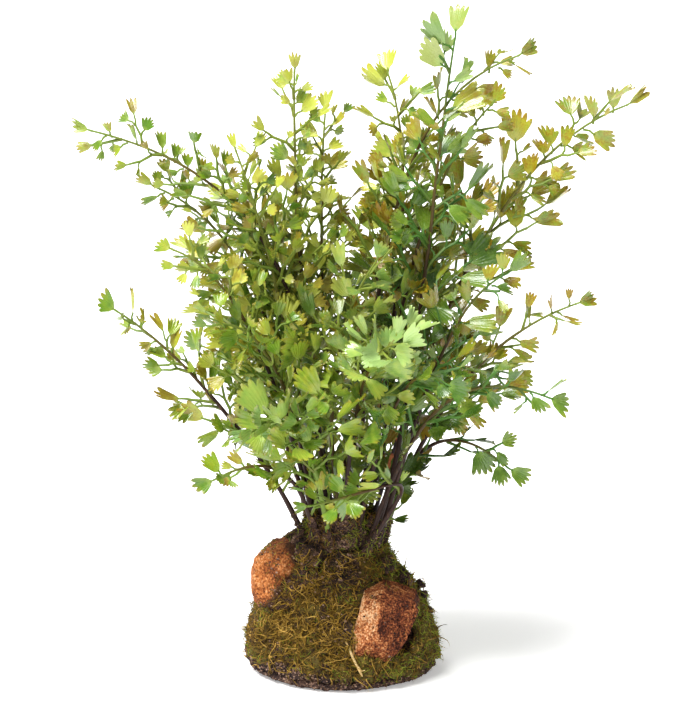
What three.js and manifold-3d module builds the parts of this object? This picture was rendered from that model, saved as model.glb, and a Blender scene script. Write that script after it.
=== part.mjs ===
// A maidenhair fern standing on a moss-covered ball of soil with two rough stones set in it.
// Millimetres, +Z up, the front of the plant faces -Y.
// The origin is the centre of the ball's flat underside, which is the face the plant stands on.
import * as THREE from "three";
import { mergeVertices } from "three/addons/utils/BufferGeometryUtils.js";
import Module from "manifold-3d";

const wasm = await Module();
wasm.setup();

// ---- Driving dimensions ----

const GAP = 0.3; // play between two pieces that touch
const SMALLEST_DETAIL = 0.02; // nothing finer than this is kept where pieces are joined

// The ball of soil, as [height, radius] from the underside up to the top of its neck.
const BALL_OUTLINE = [
  [0, 50],
  [4, 56],
  [10, 57.5],
  [22, 56.5],
  [36, 52],
  [50, 43.5],
  [62, 35],
  [72, 27.5],
  [82, 24],
  [92, 22],
];
const BALL_SIDES = 22;
const BALL_LOBES = [
  { count: 2, depth: 0.02, phase: 0.6 },
  { count: 3, depth: 0.015, phase: -1.2 },
  { count: 5, depth: 0.01, phase: 2 },
];

const MOSS = { bottom: 7, top: 78, thickness: 3 };

const STONES = {
  stone_left: { centre: [-37, -13, 59], size: [34, 36, 46], turn: [0.2, -0.35, 0.1], facets: "round" },
  stone_right: { centre: [27, -39, 39], size: [44, 34, 47], turn: [0.15, 0.3, 0.42], facets: "angular" },
};
const STONE_CLEARANCE = 1.03; // the pocket over the stone, as a ratio
const STONE_UNEVENNESS = 0.08; // how far a corner may be off its place, as a ratio
const CORNER_WEIGHTS = new THREE.Vector3(97, 31, 57); // give each corner of a stone a number of its own

// The straw lies on the moss through three points, as [compass direction, height], and lift is how far
// its middle line stands out of the round surface. The ball's flat sides lie a little inside that.
const STRAW = {
  points: [[-87, 31], [-83, 21], [-78, 11]],
  lift: 0.65,
  radius: 0.7,
  tipRadius: 0.42,
  sides: 5,
  steps: 4,
};

// A broken-off stem with no leaves, drawn as the fronds are.
const STUB = {
  name: "cut_stem",
  foot: [14, -1],
  rise: [20, 100],
  bend: [26, 120],
  tip: [33, -6, 143],
  radius: 1.7,
};

const FOOT_HEIGHT = 72; // where each stem ends inside the ball
const SOCKET_PLAY = 0.45; // the hole round a stem is this much fatter than the stem
const STEM = { footRadius: 1.8, tipRadius: 0.6, sides: 4, steps: 8, crownSteps: 2 };
const LEAN = { rise: 0.22, bend: 0.62 }; // how much of its depth a stem has gained at each control point
const BOWS = [0, 6, -6, 12, -12, 18, -18, 24, -24]; // how far a stem may bow back or forwards past the others

// Angles are in degrees, from the stem for a twig and from the twig for a leaf. A twig loses the share
// called thinning of its length from the first to the last.
const TWIG = {
  footRadius: 0.75,
  tipRadius: 0.45,
  sides: 3,
  pitch: 13,
  angle: 35,
  wander: 9,
  roll: 22,
  thinning: 0.62,
  lengthWander: 0.12,
};
const LEAF = {
  thickness: 1.2,
  bulge: 3,
  spread: 0.98,
  petiole: 2.8,
  pitch: 13.5,
  angle: 56,
  wander: 8,
  tilt: 25,
  roll: 30,
};
const LEAF_SIZES = { smallest: 0.78, range: 0.34, end: 1.15, onThinTwig: 0.75 }; // of the frond's leaf length
const END_LEAF = 0.97; // how far along its twig the last leaf starts
const SWINGS = [0, 38, -38, 76, -76]; // turns that a twig or a leaf tries to find room, in degrees

const FINISHES = {
  fresh: { color: "#a9cc4a", roughness: 0.45 },
  leaf: { color: "#72a83c", roughness: 0.45 },
  deep: { color: "#44803a", roughness: 0.4 },
  gold: { color: "#948f2c", roughness: 0.45 },
  soil: { color: "#3a2a26", roughness: 0.95 },
  moss: { color: "#5c6322", roughness: 0.95 },
  stone: { color: "#b5643c", roughness: 0.9 },
  straw: { color: "#d8b678", roughness: 0.7 },
  bark: { color: "#3b2b2c", roughness: 0.5 },
};

// Each frond's stem runs from its foot [x, y] in the ball to its tip [x, y, height], drawn by two points
// between them, [x, height]. face is the compass direction that its flat side looks to, bare the share of the
// stem below its first twig, reach the length of that twig and leaf the length of its leaves.
const FRONDS = [
  { name: "far_left", foot: [-9, -1], rise: [-14, 230], bend: [-40, 300], tip: [-148, 8, 326],
    face: -78, bare: 0.5, reach: 46, leaf: 8.5, tint: "leaf" },
  { name: "far_right", foot: [18, 2], rise: [44, 180], bend: [82, 310], tip: [168, 10, 341],
    face: -84, bare: 0.5, reach: 46, leaf: 11, tint: "gold" },
  { name: "tallest", foot: [15, -8], rise: [46, 150], bend: [52, 300], tip: [66, -16, 386],
    face: -90, bare: 0.42, reach: 42, leaf: 12, tint: "deep" },
  { name: "right_arch", foot: [5, 2], rise: [20, 250], bend: [28, 345], tip: [104, 12, 370],
    face: -80, bare: 0.5, reach: 38, leaf: 8.5, tint: "gold" },
  { name: "tall_left", foot: [-5, 8], rise: [-22, 180], bend: [-30, 290], tip: [-28, 16, 360],
    face: -95, bare: 0.5, reach: 40, leaf: 8, tint: "fresh" },
  { name: "left_upper", foot: [-12, -11], rise: [-30, 160], bend: [-55, 245], tip: [-98, -32, 262],
    face: -60, bare: 0.42, reach: 44, leaf: 10, tint: "fresh" },
  { name: "left_high", foot: [-14, 4], rise: [-32, 190], bend: [-52, 268], tip: [-112, 24, 290],
    face: -100, bare: 0.45, reach: 42, leaf: 9, tint: "leaf" },
  { name: "left_mid", foot: [-18, -6], rise: [-42, 135], bend: [-96, 200], tip: [-132, -24, 224],
    face: -70, bare: 0.42, reach: 24, leaf: 10, tint: "leaf" },
  { name: "left_low", foot: [-13, -16], rise: [-22, 128], bend: [-40, 144], tip: [-74, -46, 128],
    face: -60, bare: 0.5, reach: 12, leaf: 9.5, tint: "leaf" },
  { name: "right_mid", foot: [22, -3], rise: [44, 150], bend: [80, 205], tip: [138, -12, 226],
    face: -75, bare: 0.42, reach: 30, leaf: 10, tint: "gold" },
  { name: "right_upper", foot: [19, -13], rise: [42, 150], bend: [58, 230], tip: [96, -42, 250],
    face: -80, bare: 0.45, reach: 38, leaf: 12, tint: "deep" },
  { name: "right_reach", foot: [13, -16], rise: [36, 150], bend: [60, 200], tip: [120, -50, 178],
    face: -60, bare: 0.45, reach: 32, leaf: 11.5, tint: "deep" },
  { name: "right_low", foot: [24, 4], rise: [34, 140], bend: [62, 158], tip: [98, -26, 130],
    face: -75, bare: 0.5, reach: 12, leaf: 12, tint: "deep" },
  { name: "low_curl", foot: [10, -20], rise: [52, 140], bend: [40, 126], tip: [-18, -66, 117],
    face: -90, bare: 0.62, reach: 10, leaf: 10, tint: "leaf" },
  { name: "top_right", foot: [9, -1], rise: [30, 200], bend: [44, 300], tip: [88, -6, 344],
    face: -85, bare: 0.5, reach: 36, leaf: 9.5, tint: "gold" },
  { name: "top_left", foot: [-9, 9], rise: [-26, 180], bend: [-42, 260], tip: [-62, -6, 316],
    face: -80, bare: 0.48, reach: 40, leaf: 9, tint: "fresh" },
  { name: "tall_back", foot: [-1, 15], rise: [-10, 160], bend: [-16, 260], tip: [-10, 46, 332],
    face: -80, bare: 0.45, reach: 44, leaf: 9, tint: "fresh" },
  { name: "top_mid", foot: [9, 9], rise: [30, 190], bend: [48, 300], tip: [27, 26, 358],
    face: -90, bare: 0.45, reach: 42, leaf: 9.5, tint: "fresh" },
  { name: "front", foot: [0, -14], rise: [4, 160], bend: [12, 214], tip: [34, -90, 218],
    face: -90, bare: 0.45, reach: 40, leaf: 14, tint: "fresh" },
  { name: "front_left", foot: [-6, -18], rise: [-14, 140], bend: [-28, 182], tip: [-50, -84, 166],
    face: -100, bare: 0.42, reach: 36, leaf: 15, tint: "leaf" },
  { name: "front_right", foot: [7, -12], rise: [22, 158], bend: [38, 208], tip: [60, -78, 192],
    face: -70, bare: 0.45, reach: 40, leaf: 12, tint: "deep" },
  { name: "left_inner", foot: [-7, -8], rise: [-25, 170], bend: [-45, 228], tip: [-76, -58, 222],
    face: -110, bare: 0.42, reach: 44, leaf: 10.5, tint: "leaf" },
  { name: "crown_front", foot: [2, -6], rise: [-12, 150], bend: [-8, 215], tip: [20, -46, 258],
    face: -80, bare: 0.5, reach: 42, leaf: 10.5, tint: "fresh" },
  { name: "crown_left", foot: [-4, 1], rise: [-16, 190], bend: [-36, 262], tip: [-66, 36, 288],
    face: -60, bare: 0.42, reach: 46, leaf: 10, tint: "leaf" },
  { name: "crown_right", foot: [3, 9], rise: [10, 180], bend: [22, 262], tip: [40, 52, 308],
    face: -110, bare: 0.42, reach: 46, leaf: 10, tint: "gold" },
  { name: "back_right_high", foot: [13, 14], rise: [30, 165], bend: [52, 245], tip: [84, 62, 274],
    face: 60, bare: 0.42, reach: 46, leaf: 10.5, tint: "gold" },
  { name: "back_left_high", foot: [-11, 12], rise: [-30, 155], bend: [-60, 228], tip: [-92, 78, 242],
    face: 110, bare: 0.42, reach: 46, leaf: 10.5, tint: "leaf" },
  { name: "back_high", foot: [-5, 20], rise: [-12, 150], bend: [-22, 228], tip: [-34, 104, 248],
    face: 90, bare: 0.42, reach: 46, leaf: 10.5, tint: "gold" },
  { name: "back_mid", foot: [7, 19], rise: [18, 140], bend: [32, 206], tip: [48, 106, 218],
    face: 80, bare: 0.42, reach: 42, leaf: 11, tint: "leaf" },
  { name: "back_right_low", foot: [19, 11], rise: [32, 135], bend: [60, 185], tip: [104, 68, 166],
    face: 60, bare: 0.42, reach: 36, leaf: 11, tint: "deep" },
  { name: "back_left_low", foot: [-18, 10], rise: [-28, 132], bend: [-52, 178], tip: [-64, 84, 152],
    face: 110, bare: 0.42, reach: 36, leaf: 11, tint: "leaf" },
  { name: "back_low", foot: [1, 22], rise: [2, 120], bend: [2, 154], tip: [4, 96, 150],
    face: 90, bare: 0.42, reach: 34, leaf: 11, tint: "deep" },
];

// ---- Shared helpers ----

const degrees = (angle) => (angle * Math.PI) / 180;

// A fixed value from 0 to 1 for a whole number, the same on every run.
function chance(number) {
  const wave = Math.sin(number * 12.9898 + 4.1) * 43758.5453;
  return wave - Math.floor(wave);
}

// The same, as a value from -most to most.
const wander = (number, most) => most * (2 * chance(number) - 1);

// A three.js geometry as a closed solid.
function solidOf(geometry) {
  const bare = geometry.clone();
  bare.deleteAttribute("normal");
  bare.deleteAttribute("uv");
  const merged = mergeVertices(bare);
  const triVerts = new Uint32Array(merged.index.array);
  const vertProperties = merged.attributes.position.array;
  return new wasm.Manifold(new wasm.Mesh({ numProp: 3, vertProperties, triVerts }));
}

// A solid as a three.js mesh with its own material.
function meshOf(name, solid, finish) {
  const { numProp, vertProperties, triVerts } = solid.getMesh();
  const points = new Float32Array((vertProperties.length / numProp) * 3);
  for (let i = 0; i < points.length / 3; i++) {
    points.set(vertProperties.subarray(i * numProp, i * numProp + 3), i * 3);
  }
  const geometry = new THREE.BufferGeometry();
  geometry.setAttribute("position", new THREE.BufferAttribute(points, 3));
  geometry.setIndex(new THREE.BufferAttribute(triVerts, 1));
  geometry.computeVertexNormals();
  const material = new THREE.MeshStandardMaterial({ ...finish, metalness: 0, flatShading: true });
  const mesh = new THREE.Mesh(geometry, material);
  mesh.name = name;
  return mesh;
}

// The matrix that puts a shape drawn along +Y, with its flat side to +Z, at a place.
function placedAlong(origin, along, normal) {
  const side = new THREE.Vector3().crossVectors(along, normal).normalize();
  const facing = new THREE.Vector3().crossVectors(side, along);
  return new THREE.Matrix4().makeBasis(side, along, facing).setPosition(origin);
}

// True where a solid keeps its gap from every solid in the list.
function isClear(solid, others) {
  const box = solid.boundingBox();
  return others.every((other) => {
    const meets = (k) => box.min[k] - GAP < other.box.max[k] && box.max[k] + GAP > other.box.min[k];
    const near = [0, 1, 2].every(meets);
    return !near || solid.minGap(other.solid, GAP) >= GAP;
  });
}

const withBox = (solid) => ({ solid, box: solid.boundingBox() });

// ---- Ball, moss and stones ----

// How much wider the ball is in a direction than its outline says.
function lobeAt(angle) {
  const waves = BALL_LOBES.map(({ count, depth, phase }) => depth * Math.cos(count * angle + phase));
  return waves.reduce((sum, wave) => sum + wave, 1);
}

// The ball's radius at a height, before its lobes.
function ballRadius(height) {
  const above = BALL_OUTLINE.findIndex(([z]) => z >= height);
  const [z0, r0] = BALL_OUTLINE[Math.max(above - 1, 0)];
  const [z1, r1] = BALL_OUTLINE[Math.max(above, 1)];
  return r0 + ((r1 - r0) * (height - z0)) / (z1 - z0);
}

// The point in a direction and at a height that is a little way out of the ball's surface.
function onBall(angle, height, lift) {
  const reach = ballRadius(height) * lobeAt(angle) + lift;
  return new THREE.Vector3(Math.cos(angle) * reach, Math.sin(angle) * reach, height);
}

// A turned shape from [height, radius] points, pushed in and out by the ball's lobes.
function lobedTurning(outline) {
  const profile = outline.map(([height, radius]) => new THREE.Vector2(radius, height));
  const turned = new THREE.LatheGeometry(profile, BALL_SIDES).rotateX(Math.PI / 2);
  const place = turned.attributes.position;
  for (let i = 0; i < place.count; i++) {
    const swell = lobeAt(Math.atan2(place.getY(i), place.getX(i)));
    place.setXYZ(i, place.getX(i) * swell, place.getY(i) * swell, place.getZ(i));
  }
  return solidOf(turned);
}

// The soil core: the whole ball, with a recess where the moss lies on it.
function soilCore() {
  const recess = MOSS.thickness + GAP;
  const covered = BALL_OUTLINE.filter(([height]) => height > MOSS.bottom && height < MOSS.top);
  const bare = BALL_OUTLINE.filter(([height]) => height <= MOSS.bottom);
  const neck = BALL_OUTLINE.filter(([height]) => height >= MOSS.top);
  const topHeight = BALL_OUTLINE.at(-1)[0];
  return lobedTurning([
    [0, 0],
    ...bare,
    [MOSS.bottom, ballRadius(MOSS.bottom) - recess],
    ...covered.map(([height, radius]) => [height, radius - recess]),
    [MOSS.top, ballRadius(MOSS.top) - recess],
    ...neck,
    [topHeight + 1, 0],
  ]);
}

// The blanket of moss in that recess.
function mossBlanket() {
  const covered = BALL_OUTLINE.filter(([height]) => height > MOSS.bottom && height < MOSS.top);
  const levels = [MOSS.bottom + GAP, ...covered.map(([height]) => height), MOSS.top - GAP];
  const outer = levels.map((height) => [height, ballRadius(height)]);
  const inner = levels.map((height) => [height, ballRadius(height) - MOSS.thickness]).reverse();
  return lobedTurning([...outer, ...inner, outer[0]]);
}

// A rough stone: an angular or a rounder polyhedron, made uneven.
function stone({ centre, size, turn, facets }, growth = 1) {
  const angular = facets === "angular";
  const shape = angular ? new THREE.DodecahedronGeometry(0.5) : new THREE.IcosahedronGeometry(0.5, 1);
  const place = shape.attributes.position;
  for (let i = 0; i < place.count; i++) {
    const point = new THREE.Vector3().fromBufferAttribute(place, i);
    const corner = Math.round(point.dot(CORNER_WEIGHTS));
    point.multiplyScalar(growth * (1 + wander(corner, STONE_UNEVENNESS)));
    place.setXYZ(i, point.x, point.y, point.z);
  }
  shape.scale(...size);
  const matrix = new THREE.Matrix4().makeRotationFromEuler(new THREE.Euler(...turn)).setPosition(...centre);
  return solidOf(shape.applyMatrix4(matrix));
}

// ---- Stems, twigs and leaves ----

// The line that a stem follows from its foot to its tip.
function stemLine({ foot, rise, bend, tip }, bow, footHeight = FOOT_HEIGHT) {
  const depthAt = (share) => foot[1] + (tip[1] - foot[1]) * share;
  return new THREE.CubicBezierCurve3(
    new THREE.Vector3(foot[0], foot[1], footHeight),
    new THREE.Vector3(rise[0], depthAt(LEAN.rise) + bow / 2, rise[1]),
    new THREE.Vector3(bend[0], depthAt(LEAN.bend) + bow, bend[1]),
    new THREE.Vector3(...tip),
  );
}

// The point at a share of the way along a bent line of points.
function alongPoints(points, share) {
  const place = Math.min(share, 0.9999) * (points.length - 1);
  const step = Math.floor(place);
  return points[step].clone().lerp(points[step + 1], place - step);
}

// A tapering rod along a line.
function rod(line, footRadius, tipRadius, sides, steps) {
  const section = new THREE.Shape();
  for (let i = 0; i < sides; i++) {
    const angle = (2 * Math.PI * i) / sides;
    section[i ? "lineTo" : "moveTo"](Math.cos(angle), Math.sin(angle));
  }
  const swept = new THREE.ExtrudeGeometry(section, { steps, extrudePath: line, bevelEnabled: false });
  const centres = line.getSpacedPoints(steps);
  const place = swept.attributes.position;
  for (let i = 0; i < place.count; i++) {
    const point = new THREE.Vector3().fromBufferAttribute(place, i);
    const distances = centres.map((centre) => centre.distanceTo(point));
    const step = distances.indexOf(Math.min(...distances));
    const radius = footRadius + (tipRadius - footRadius) * (step / steps);
    point.sub(centres[step]).multiplyScalar(radius).add(centres[step]);
    place.setXYZ(i, point.x, point.y, point.z);
  }
  return solidOf(swept);
}

const stemRod = (line, footRadius, play = 0) =>
  rod(line, footRadius + play, STEM.tipRadius + play, STEM.sides, STEM.steps);

// A stem along the first of its bowed lines that passes the stems already there, and the hole it stands in.
function growStem(spec, stems) {
  const radius = spec.radius ?? STEM.footRadius;
  for (const bow of BOWS) {
    const line = stemLine(spec, bow);
    const solid = stemRod(line, radius);
    if (isClear(solid, stems)) {
      const socket = stemRod(stemLine(spec, bow, FOOT_HEIGHT - GAP), radius, SOCKET_PLAY);
      return { line, socket, ...withBox(solid) };
    }
  }
  throw new Error("no way past the other stems for " + spec.name);
}

// A straight tapering twig between two points.
function twigSolid(from, to) {
  const length = from.distanceTo(to);
  const along = to.clone().sub(from).normalize();
  const shape = new THREE.CylinderGeometry(TWIG.tipRadius, TWIG.footRadius, length, TWIG.sides);
  shape.translate(0, length / 2, 0);
  const across = Math.abs(along.z) < 0.9 ? new THREE.Vector3(0, 0, 1) : new THREE.Vector3(1, 0, 0);
  return solidOf(shape.applyMatrix4(placedAlong(from, along, across)));
}

// One fan-shaped leaf: a keeled wedge that is a point on the twig and widest at its far edge.
function leafSolid(from, along, normal, length) {
  const fan = new THREE.ConeGeometry(1 / Math.sqrt(3), 1, 3, 1);
  fan.translate(0, -0.5, 0).rotateX(Math.PI).rotateY(Math.PI);
  fan.scale(length * LEAF.spread, length + LEAF.petiole, LEAF.thickness);
  fan.applyMatrix4(new THREE.Matrix4().makeShear(0, 0, 0, 0, 0, LEAF.bulge));
  return solidOf(fan.applyMatrix4(placedAlong(from, along, normal)));
}

// Adds the first of a leaf's turned positions that has room, if there is one.
function growLeaf(pieces, taken, { from, along, normal, length, about }) {
  for (const swing of SWINGS) {
    const turned = (vector) => vector.clone().applyAxisAngle(about, degrees(swing));
    const leaf = leafSolid(from, turned(along), turned(normal), length);
    if (isClear(leaf, taken)) {
      pieces.push(leaf);
      return;
    }
  }
}

// The leaves along one straight stretch, left and right in turn, with one more where it ends free.
function growLeaves(pieces, taken, { from, to, normal, length, seed, endsFree }) {
  const stretch = to.clone().sub(from);
  const along = stretch.clone().normalize();
  const count = Math.round(stretch.length() / LEAF.pitch - (endsFree ? 0.5 : 0));
  for (let j = 0; j < count + (endsFree ? 1 : 0); j++) {
    const atEnd = j === count;
    const side = (j + seed) % 2 ? 1 : -1;
    const angle = wander(seed + j, LEAF.wander) + (atEnd ? 0 : side * LEAF.angle);
    const leafAlong = along.clone().applyAxisAngle(normal, degrees(angle));
    const size = atEnd ? LEAF_SIZES.end : LEAF_SIZES.smallest + LEAF_SIZES.range * chance(seed + j + 0.25);
    growLeaf(pieces, taken, {
      from: from.clone().lerp(to, atEnd ? END_LEAF : (j + 0.5) / count),
      along: leafAlong,
      normal: normal.clone().applyAxisAngle(leafAlong, degrees(wander(seed + j + 0.5, LEAF.tilt))),
      length: length * size,
      about: along,
    });
  }
}

// Adds one twig with its leaves, turned about the stem until it has room, if it has any.
function growTwig(pieces, taken, { start, tangent, face, side, length, leafLength, seed }) {
  const across = new THREE.Vector3().crossVectors(tangent, face).normalize();
  const normal = new THREE.Vector3().crossVectors(across, tangent);
  const open = degrees(TWIG.angle + wander(seed + 0.7, TWIG.wander));
  const straight = tangent.clone().multiplyScalar(Math.cos(open));
  straight.addScaledVector(across, side * Math.sin(open));
  for (const swing of SWINGS) {
    const turn = degrees(swing + wander(seed + 0.3, TWIG.roll));
    const direction = straight.clone().applyAxisAngle(tangent, turn);
    const end = start.clone().addScaledVector(direction, length);
    const twig = twigSolid(start, end);
    if (isClear(twig, taken)) {
      pieces.push(twig);
      growLeaves(pieces, taken, {
        from: start,
        to: end,
        normal: normal.clone().applyAxisAngle(direction, degrees(wander(seed + 0.9, LEAF.roll))),
        length: leafLength,
        seed: seed + 1,
        endsFree: true,
      });
      return;
    }
  }
}

// One frond: its stem, the twigs left and right of it, and the leaves of both, joined into one solid.
function growFrond(frond, line, index, taken) {
  const joints = line.getSpacedPoints(STEM.steps);
  const leafyShare = 1 - STEM.crownSteps / STEM.steps - frond.bare;
  const twigCount = Math.round((line.getLength() * leafyShare) / TWIG.pitch);
  const face = new THREE.Vector3(Math.cos(degrees(frond.face)), Math.sin(degrees(frond.face)), 0);
  const pieces = [stemRod(line, STEM.footRadius)];
  for (let i = 0; i < twigCount; i++) {
    const seed = index * 1000 + i * 40;
    const share = frond.bare + (leafyShare * (i + 0.3)) / twigCount;
    const taper = 1 - (TWIG.thinning * i) / twigCount;
    growTwig(pieces, taken, {
      start: alongPoints(joints, share),
      tangent: line.getTangentAt(share),
      face,
      side: i % 2 ? 1 : -1,
      length: frond.reach * taper * (1 + wander(seed, TWIG.lengthWander)),
      leafLength: frond.leaf * (LEAF_SIZES.onThinTwig + (1 - LEAF_SIZES.onThinTwig) * taper),
      seed,
    });
  }
  for (let step = STEM.steps - STEM.crownSteps; step < STEM.steps; step++) {
    growLeaves(pieces, taken, {
      from: joints[step],
      to: joints[step + 1],
      normal: face,
      length: frond.leaf,
      seed: index * 1000 + 900 + step * 10,
      endsFree: step === STEM.steps - 1,
    });
  }
  return wasm.Manifold.union(pieces).simplify(SMALLEST_DETAIL);
}

// ---- Assembly ----

const group = new THREE.Group();
const stones = Object.entries(STONES).map(([name, spec]) => ({
  name,
  solid: stone(spec),
  pocket: stone(spec, STONE_CLEARANCE),
}));
let core = soilCore();
let moss = mossBlanket();
for (const { pocket } of stones) {
  core = core.subtract(pocket);
  moss = moss.subtract(pocket);
}

const stems = [];
[...FRONDS, STUB].forEach((spec) => stems.push(growStem(spec, stems)));
const stub = stems.at(-1);

const surroundings = [core, moss, ...stones.map(({ solid }) => solid)].map(withBox);
const fronds = [];
FRONDS.forEach((frond, index) => {
  const otherStems = stems.filter((_, other) => other !== index);
  const solid = growFrond(frond, stems[index].line, index, [...surroundings, ...otherStems, ...fronds]);
  fronds.push(withBox(solid));
  group.add(meshOf("frond_" + frond.name, solid, FINISHES[frond.tint]));
});

for (const { socket } of stems) {
  core = core.subtract(socket);
  moss = moss.subtract(socket);
}

const strawPoints = STRAW.points.map(([direction, height]) => onBall(degrees(direction), height, STRAW.lift));
const strawLine = new THREE.CatmullRomCurve3(strawPoints);
const straw = rod(strawLine, STRAW.radius, STRAW.tipRadius, STRAW.sides, STRAW.steps);

group.add(meshOf("soil_ball", core, FINISHES.soil));
group.add(meshOf("moss_blanket", moss, FINISHES.moss));
stones.forEach(({ name, solid }) => group.add(meshOf(name, solid, FINISHES.stone)));
group.add(meshOf("straw", straw, FINISHES.straw));
group.add(meshOf("cut_stem", stub.solid, FINISHES.bark));

export default group;
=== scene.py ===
"""The looks of a maidenhair fern that stands on its own moss-covered ball of soil.

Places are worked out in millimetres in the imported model's frame (+Z up, the front faces -Y, the origin is the
centre of the ball's underside) and turned to metres when a mesh is made.
"""

import logging
import math
import random
from collections import defaultdict
from collections.abc import Callable, Iterable, Sequence
from dataclasses import dataclass, field
from enum import Enum
from functools import partial

import bmesh
import bpy
import numpy as np
from mathutils import Matrix, Quaternion, Vector, noise
from mathutils.bvhtree import BVHTree
from mathutils.kdtree import KDTree


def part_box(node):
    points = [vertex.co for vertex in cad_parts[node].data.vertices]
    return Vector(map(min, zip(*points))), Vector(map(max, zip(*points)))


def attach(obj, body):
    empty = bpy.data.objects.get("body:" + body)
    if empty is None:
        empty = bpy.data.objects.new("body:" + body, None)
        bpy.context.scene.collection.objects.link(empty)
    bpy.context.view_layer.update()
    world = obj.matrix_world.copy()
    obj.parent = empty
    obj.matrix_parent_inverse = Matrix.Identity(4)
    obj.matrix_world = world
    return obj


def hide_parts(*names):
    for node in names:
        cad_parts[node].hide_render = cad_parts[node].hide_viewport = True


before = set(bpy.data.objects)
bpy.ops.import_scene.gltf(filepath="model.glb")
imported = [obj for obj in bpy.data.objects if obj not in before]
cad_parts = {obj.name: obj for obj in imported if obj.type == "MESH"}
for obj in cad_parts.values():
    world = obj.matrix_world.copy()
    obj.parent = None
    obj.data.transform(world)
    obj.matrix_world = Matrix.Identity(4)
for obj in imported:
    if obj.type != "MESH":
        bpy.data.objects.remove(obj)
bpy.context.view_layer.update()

LOG = logging.getLogger("fern")
MM = 0.001
UP = Vector((0, 0, 1))
NOISE_SEED = 5  # without one, the stems would waver another way in each run


# ---- The plant's own sizes, in millimetres and degrees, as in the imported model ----


class Tint(Enum):
    """The four leaf colours; each value is the record's material slot.

    The palest goes mostly to fronds at the upper left, where the light falls, and the deepest green mostly to
    those on the right: partly the leaves' own colours, partly painted light and painted shade.
    """

    FRESH_LIT = "leaf_fresh"
    GREEN = "leaf_green"
    DEEP_SHADED = "leaf_deep"
    GOLD = "leaf_gold"


@dataclass(frozen=True)
class Frond:
    """One frond: its stem from foot [x, y] to tip [x, y, height] by two points [x, height] between them.

    face is the compass direction that its flat side looks to, bare the share of the stem below its first
    twig, reach the length of that twig and leaf the length of its leaves. young says how early the stem
    turns green, and 1 that it is green all over. shades is the part of its tint's range of colours that its
    leaves take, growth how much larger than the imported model's wedges they are, and mint how pale the leaves
    near its end are.
    """

    name: str
    foot: tuple[float, float]
    rise: tuple[float, float]
    bend: tuple[float, float]
    tip: tuple[float, float, float]
    face: float
    bare: float
    reach: float
    leaf: float
    tint: Tint
    young: float = 0.45
    shades: tuple[float, float] = (0.0, 1.0)
    growth: float = 1.26
    mint: float = 0.0


# The palest tint and the paler part of a range go mostly to fronds at the upper left, where the light falls,
# and the deepest green and darker ranges to the right: partly the leaves' own colours, partly painted light and
# painted shade.
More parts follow.
